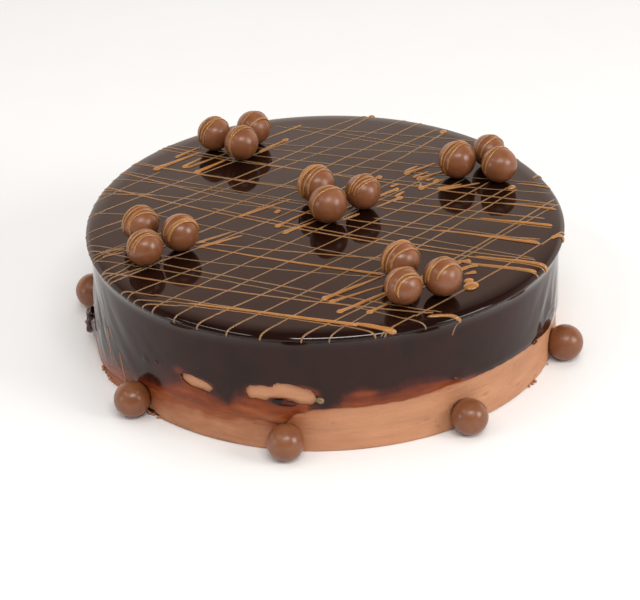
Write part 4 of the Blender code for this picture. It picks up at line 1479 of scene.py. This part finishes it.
class CAKE_OT_lattice(bpy.types.Operator):
    """Pipe the two families of lines across the top"""
    bl_idname = "cake.lattice"
    bl_label = "Drizzle lattice"

    def execute(self, context):
        make_lattice("drizzle_rising", RISING, RISING_LINES)
        make_lattice("drizzle_falling", FALLING, FALLING_LINES + HEAVY_LINES)
        return {"FINISHED"}


class CAKE_OT_cluster_drizzle(bpy.types.Operator):
    """Pipe the short passes beside the clusters and the strands over the balls"""
    bl_idname = "cake.cluster_drizzle"
    bl_label = "Drizzle over the clusters"

    def execute(self, context):
        make_cluster_drizzle()
        make_ball_drizzle()
        return {"FINISHED"}


class CAKE_OT_rim_drizzle(bpy.types.Operator):
    """Let strands hook over the rim and run down the side"""
    bl_idname = "cake.rim_drizzle"
    bl_label = "Drizzle over the rim"

    def execute(self, context):
        make_rim_drizzle()
        return {"FINISHED"}


# ---- balls ----

def make_ball(name, node, place, radius, seed):
    """One chocolate ball: nearly round and softly uneven."""
    form = bpy.context.scene.cake_form
    bm = bmesh.new()
    bmesh.ops.create_icosphere(bm, subdivisions=5, radius=radius)
    for vertex in bm.verts:
        out = vertex.co.normalized()
        uneven = 0.7 * soft_noise(out, 1.1, seed) + 0.3 * soft_noise(out, 0.45, seed + 5)
        vertex.co = out * (radius - form.ball_unevenness * (1 - uneven) * 0.5) + place
    material = dressed("Satin milk chocolate", dress_ball)
    add_piece(name, bm, material, (node,))


class CAKE_OT_top_balls(bpy.types.Operator):
    """Set the clusters of chocolate balls on top"""
    bl_idname = "cake.top_balls"
    bl_label = "Balls on top"

    def execute(self, context):
        for number, row in enumerate(TOP_BALLS, 1):
            make_ball(f"cluster_ball_{number:02d}", f"top_ball_{number:02d}",
                      top_ball_place(*row), row[2] * MM, number * 7.7)
        return {"FINISHED"}


class CAKE_OT_foot_balls(bpy.types.Operator):
    """Set the ring of chocolate balls round the foot"""
    bl_idname = "cake.foot_balls"
    bl_label = "Balls round the foot"

    def execute(self, context):
        for number, row in enumerate(FOOT_BALLS, 1):
            make_ball(f"ring_ball_{number:02d}", f"foot_ball_{number:02d}",
                      foot_ball_place(*row), row[1] * MM, number * 5.3 + 100)
        return {"FINISHED"}


# ---- stage ----

FLOOR_HALF = 3.0                 # half the floor's width in metres
SENSOR_WIDTH = 36.0              # of the camera, in mm
LAMP_TARGET = Vector((0, 0, 0.05))
# Soft rectangular lamps: name, place, size in metres, power in watts, colour.
LAMPS = (("key_softbox", (0.16, -0.95, 1.28), (0.9, 0.15), 10.5, (1, 0.985, 0.96)),
         ("right_softbox", (1.25, -0.62, 0.68), (0.6, 0.6), 11, (1, 0.98, 0.95)),
         ("left_softbox", (-1.38, -0.55, 0.38), (0.2, 0.35), 2.4, (1, 0.98, 0.95)),
         ("rim_softbox", (-0.80, -0.49, 1.12), (0.75, 0.08), 2.2, (1, 0.99, 0.97)),
         ("top_softbox", (0.1, 0.2, 1.5), (1.2, 1.0), 6, (1, 0.99, 0.97)))
UNMIRRORED = "top_softbox"       # the glaze doesn't mirror this one


def camera_matrix():
    """The camera's place and turn, at the photograph's viewing angle."""
    stage = bpy.context.scene.cake_stage
    back = Vector((0, -math.cos(stage.elevation), math.sin(stage.elevation)))
    ahead, right = -back, Vector((1, 0, 0))
    up = right.cross(ahead)
    yaw = Matrix.Rotation(stage.yaw, 3, up)
    ahead, right = yaw @ ahead, yaw @ right
    pitch = Matrix.Rotation(stage.pitch, 3, right)
    ahead, up = pitch @ ahead, pitch @ up
    roll = Matrix.Rotation(stage.roll, 3, ahead)
    right, up = roll @ right, roll @ up
    turned = Matrix((right, up, -ahead)).transposed().to_4x4()
    return Matrix.Translation(back * stage.distance) @ turned


def add_camera(scene):
    """The camera that the scene is seen through."""
    lens = bpy.data.cameras.new("camera")
    lens.sensor_width = SENSOR_WIDTH
    lens.lens = SENSOR_WIDTH * scene.cake_stage.focal_share
    lens.clip_start, lens.clip_end = 0.05, 20
    camera = bpy.data.objects.new("camera", lens)
    scene.collection.objects.link(camera)
    camera.matrix_world = camera_matrix()
    scene.camera = camera


def add_lamp(scene, name, place, size, watts, colour):
    """A soft rectangular lamp that faces the cake."""
    data = bpy.data.lights.new(name, "AREA")
    data.shape = "RECTANGLE"
    data.size, data.size_y = size
    data.energy = watts
    data.color = colour
    lamp = bpy.data.objects.new(name, data)
    scene.collection.objects.link(lamp)
    lamp.location = place
    lamp.rotation_mode = "QUATERNION"
    lamp.rotation_quaternion = (LAMP_TARGET - Vector(place)).to_track_quat("-Z", "Y")
    lamp.visible_glossy = name != UNMIRRORED


def add_floor(scene):
    """A plain floor under the cake."""
    bm = bmesh.new()
    bmesh.ops.create_grid(bm, x_segments=2, y_segments=2, size=FLOOR_HALF)
    mesh = bpy.data.meshes.new("floor")
    bm.to_mesh(mesh)
    bm.free()
    floor = bpy.data.objects.new("floor", mesh)
    scene.collection.objects.link(floor)
    mesh.materials.append(dressed("Pale floor", dress_floor))


def add_background(tree, colour):
    """Surroundings of one colour."""
    return add_node(tree, "ShaderNodeBackground", (("Color", colour),)).outputs[0]


def make_world():
    """Studio surroundings: white to the camera, even for the light, and dark overhead but bright
    low behind the cake where the glaze mirrors them."""
    world = bpy.data.worlds.new("Studio")
    bpy.context.scene.world = world
    world.use_nodes = True
    tree = world.node_tree
    place = add_node(tree, "ShaderNodeTexCoord").outputs["Generated"]
    split = add_node(tree, "ShaderNodeSeparateXYZ", ((0, place),)).outputs
    low = add_range(tree, split["Z"], 0.40, 0.50, 1.0, 0.0)
    high = add_range(tree, split["Z"], 0.50, 0.78, 1.0, 0.0)
    behind = add_range(tree, split["Y"], -0.25, 0.40)
    bright = add_maths(tree, "MULTIPLY", high, behind)
    colour = add_mix(tree, low, (1.05, 0.72, 0.60), (1.58, 1.32, 1.16))
    colour = add_mix(tree, bright, (0.12, 0.10, 0.10), colour)
    mirrored = tree.nodes["Background"]
    feed(tree, mirrored, (("Color", colour),))
    even = add_background(tree, (0.50, 0.49, 0.48))
    white = add_background(tree, (1, 1, 1))
    path = add_node(tree, "ShaderNodeLightPath").outputs
    lit = add_node(tree, "ShaderNodeMixShader",
                   ((0, path["Is Glossy Ray"]), (1, even), (2, mirrored.outputs[0]))).outputs[0]
    seen = add_node(tree, "ShaderNodeMixShader",
                    ((0, path["Is Camera Ray"]), (1, lit), (2, white))).outputs[0]
    feed(tree, tree.nodes["World Output"], (("Surface", seen),))


class CAKE_OT_stage(bpy.types.Operator):
    """Set up the floor, the studio light and the camera"""
    bl_idname = "cake.stage"
    bl_label = "Stage"

    def execute(self, context):
        scene = context.scene
        add_floor(scene)
        make_world()
        for row in LAMPS:
            add_lamp(scene, *row)
        add_camera(scene)
        scene.view_settings.view_transform = "Standard"
        scene.view_settings.look = "None"
        return {"FINISHED"}


# ---- panel ----

OPERATORS = (CAKE_OT_mousse, CAKE_OT_glaze, CAKE_OT_lattice, CAKE_OT_cluster_drizzle,
             CAKE_OT_rim_drizzle, CAKE_OT_top_balls, CAKE_OT_foot_balls, CAKE_OT_stage)
SETTINGS = (("cake_form", CakeForm), ("drizzle_form", DrizzleForm),
            ("cake_colours", CakeColours), ("cake_stage", StageSettings))


class CAKE_PT_panel(bpy.types.Panel):
    """Pieces and settings of the cake"""
    bl_label = "Cake"
    bl_idname = "CAKE_PT_panel"
    bl_space_type = "VIEW_3D"
    bl_region_type = "UI"
    bl_category = "Cake"

    def draw(self, context):
        for operator in OPERATORS:
            self.layout.operator(operator.bl_idname)
        for name, group in SETTINGS:
            box = self.layout.box()
            box.label(text=group.__name__)
            for prop in group.__annotations__:
                box.prop(getattr(context.scene, name), prop)


CLASSES = tuple(group for _, group in SETTINGS) + OPERATORS + (CAKE_PT_panel,)


def register():
    """Make the operators, the settings and the panel known to Blender."""
    for cls in CLASSES:
        bpy.utils.register_class(cls)
    for name, group in SETTINGS:
        setattr(bpy.types.Scene, name, PointerProperty(type=group))


def unregister():
    """Take them away again."""
    for name, _ in SETTINGS:
        delattr(bpy.types.Scene, name)
    for cls in reversed(CLASSES):
        bpy.utils.unregister_class(cls)


def main():
    """Build every piece and the stage."""
    register()
    bpy.ops.cake.mousse()
    bpy.ops.cake.glaze()
    bpy.ops.cake.lattice()
    bpy.ops.cake.cluster_drizzle()
    bpy.ops.cake.rim_drizzle()
    bpy.ops.cake.top_balls()
    bpy.ops.cake.foot_balls()
    bpy.ops.cake.stage()


if __name__ == "__main__":
    main()
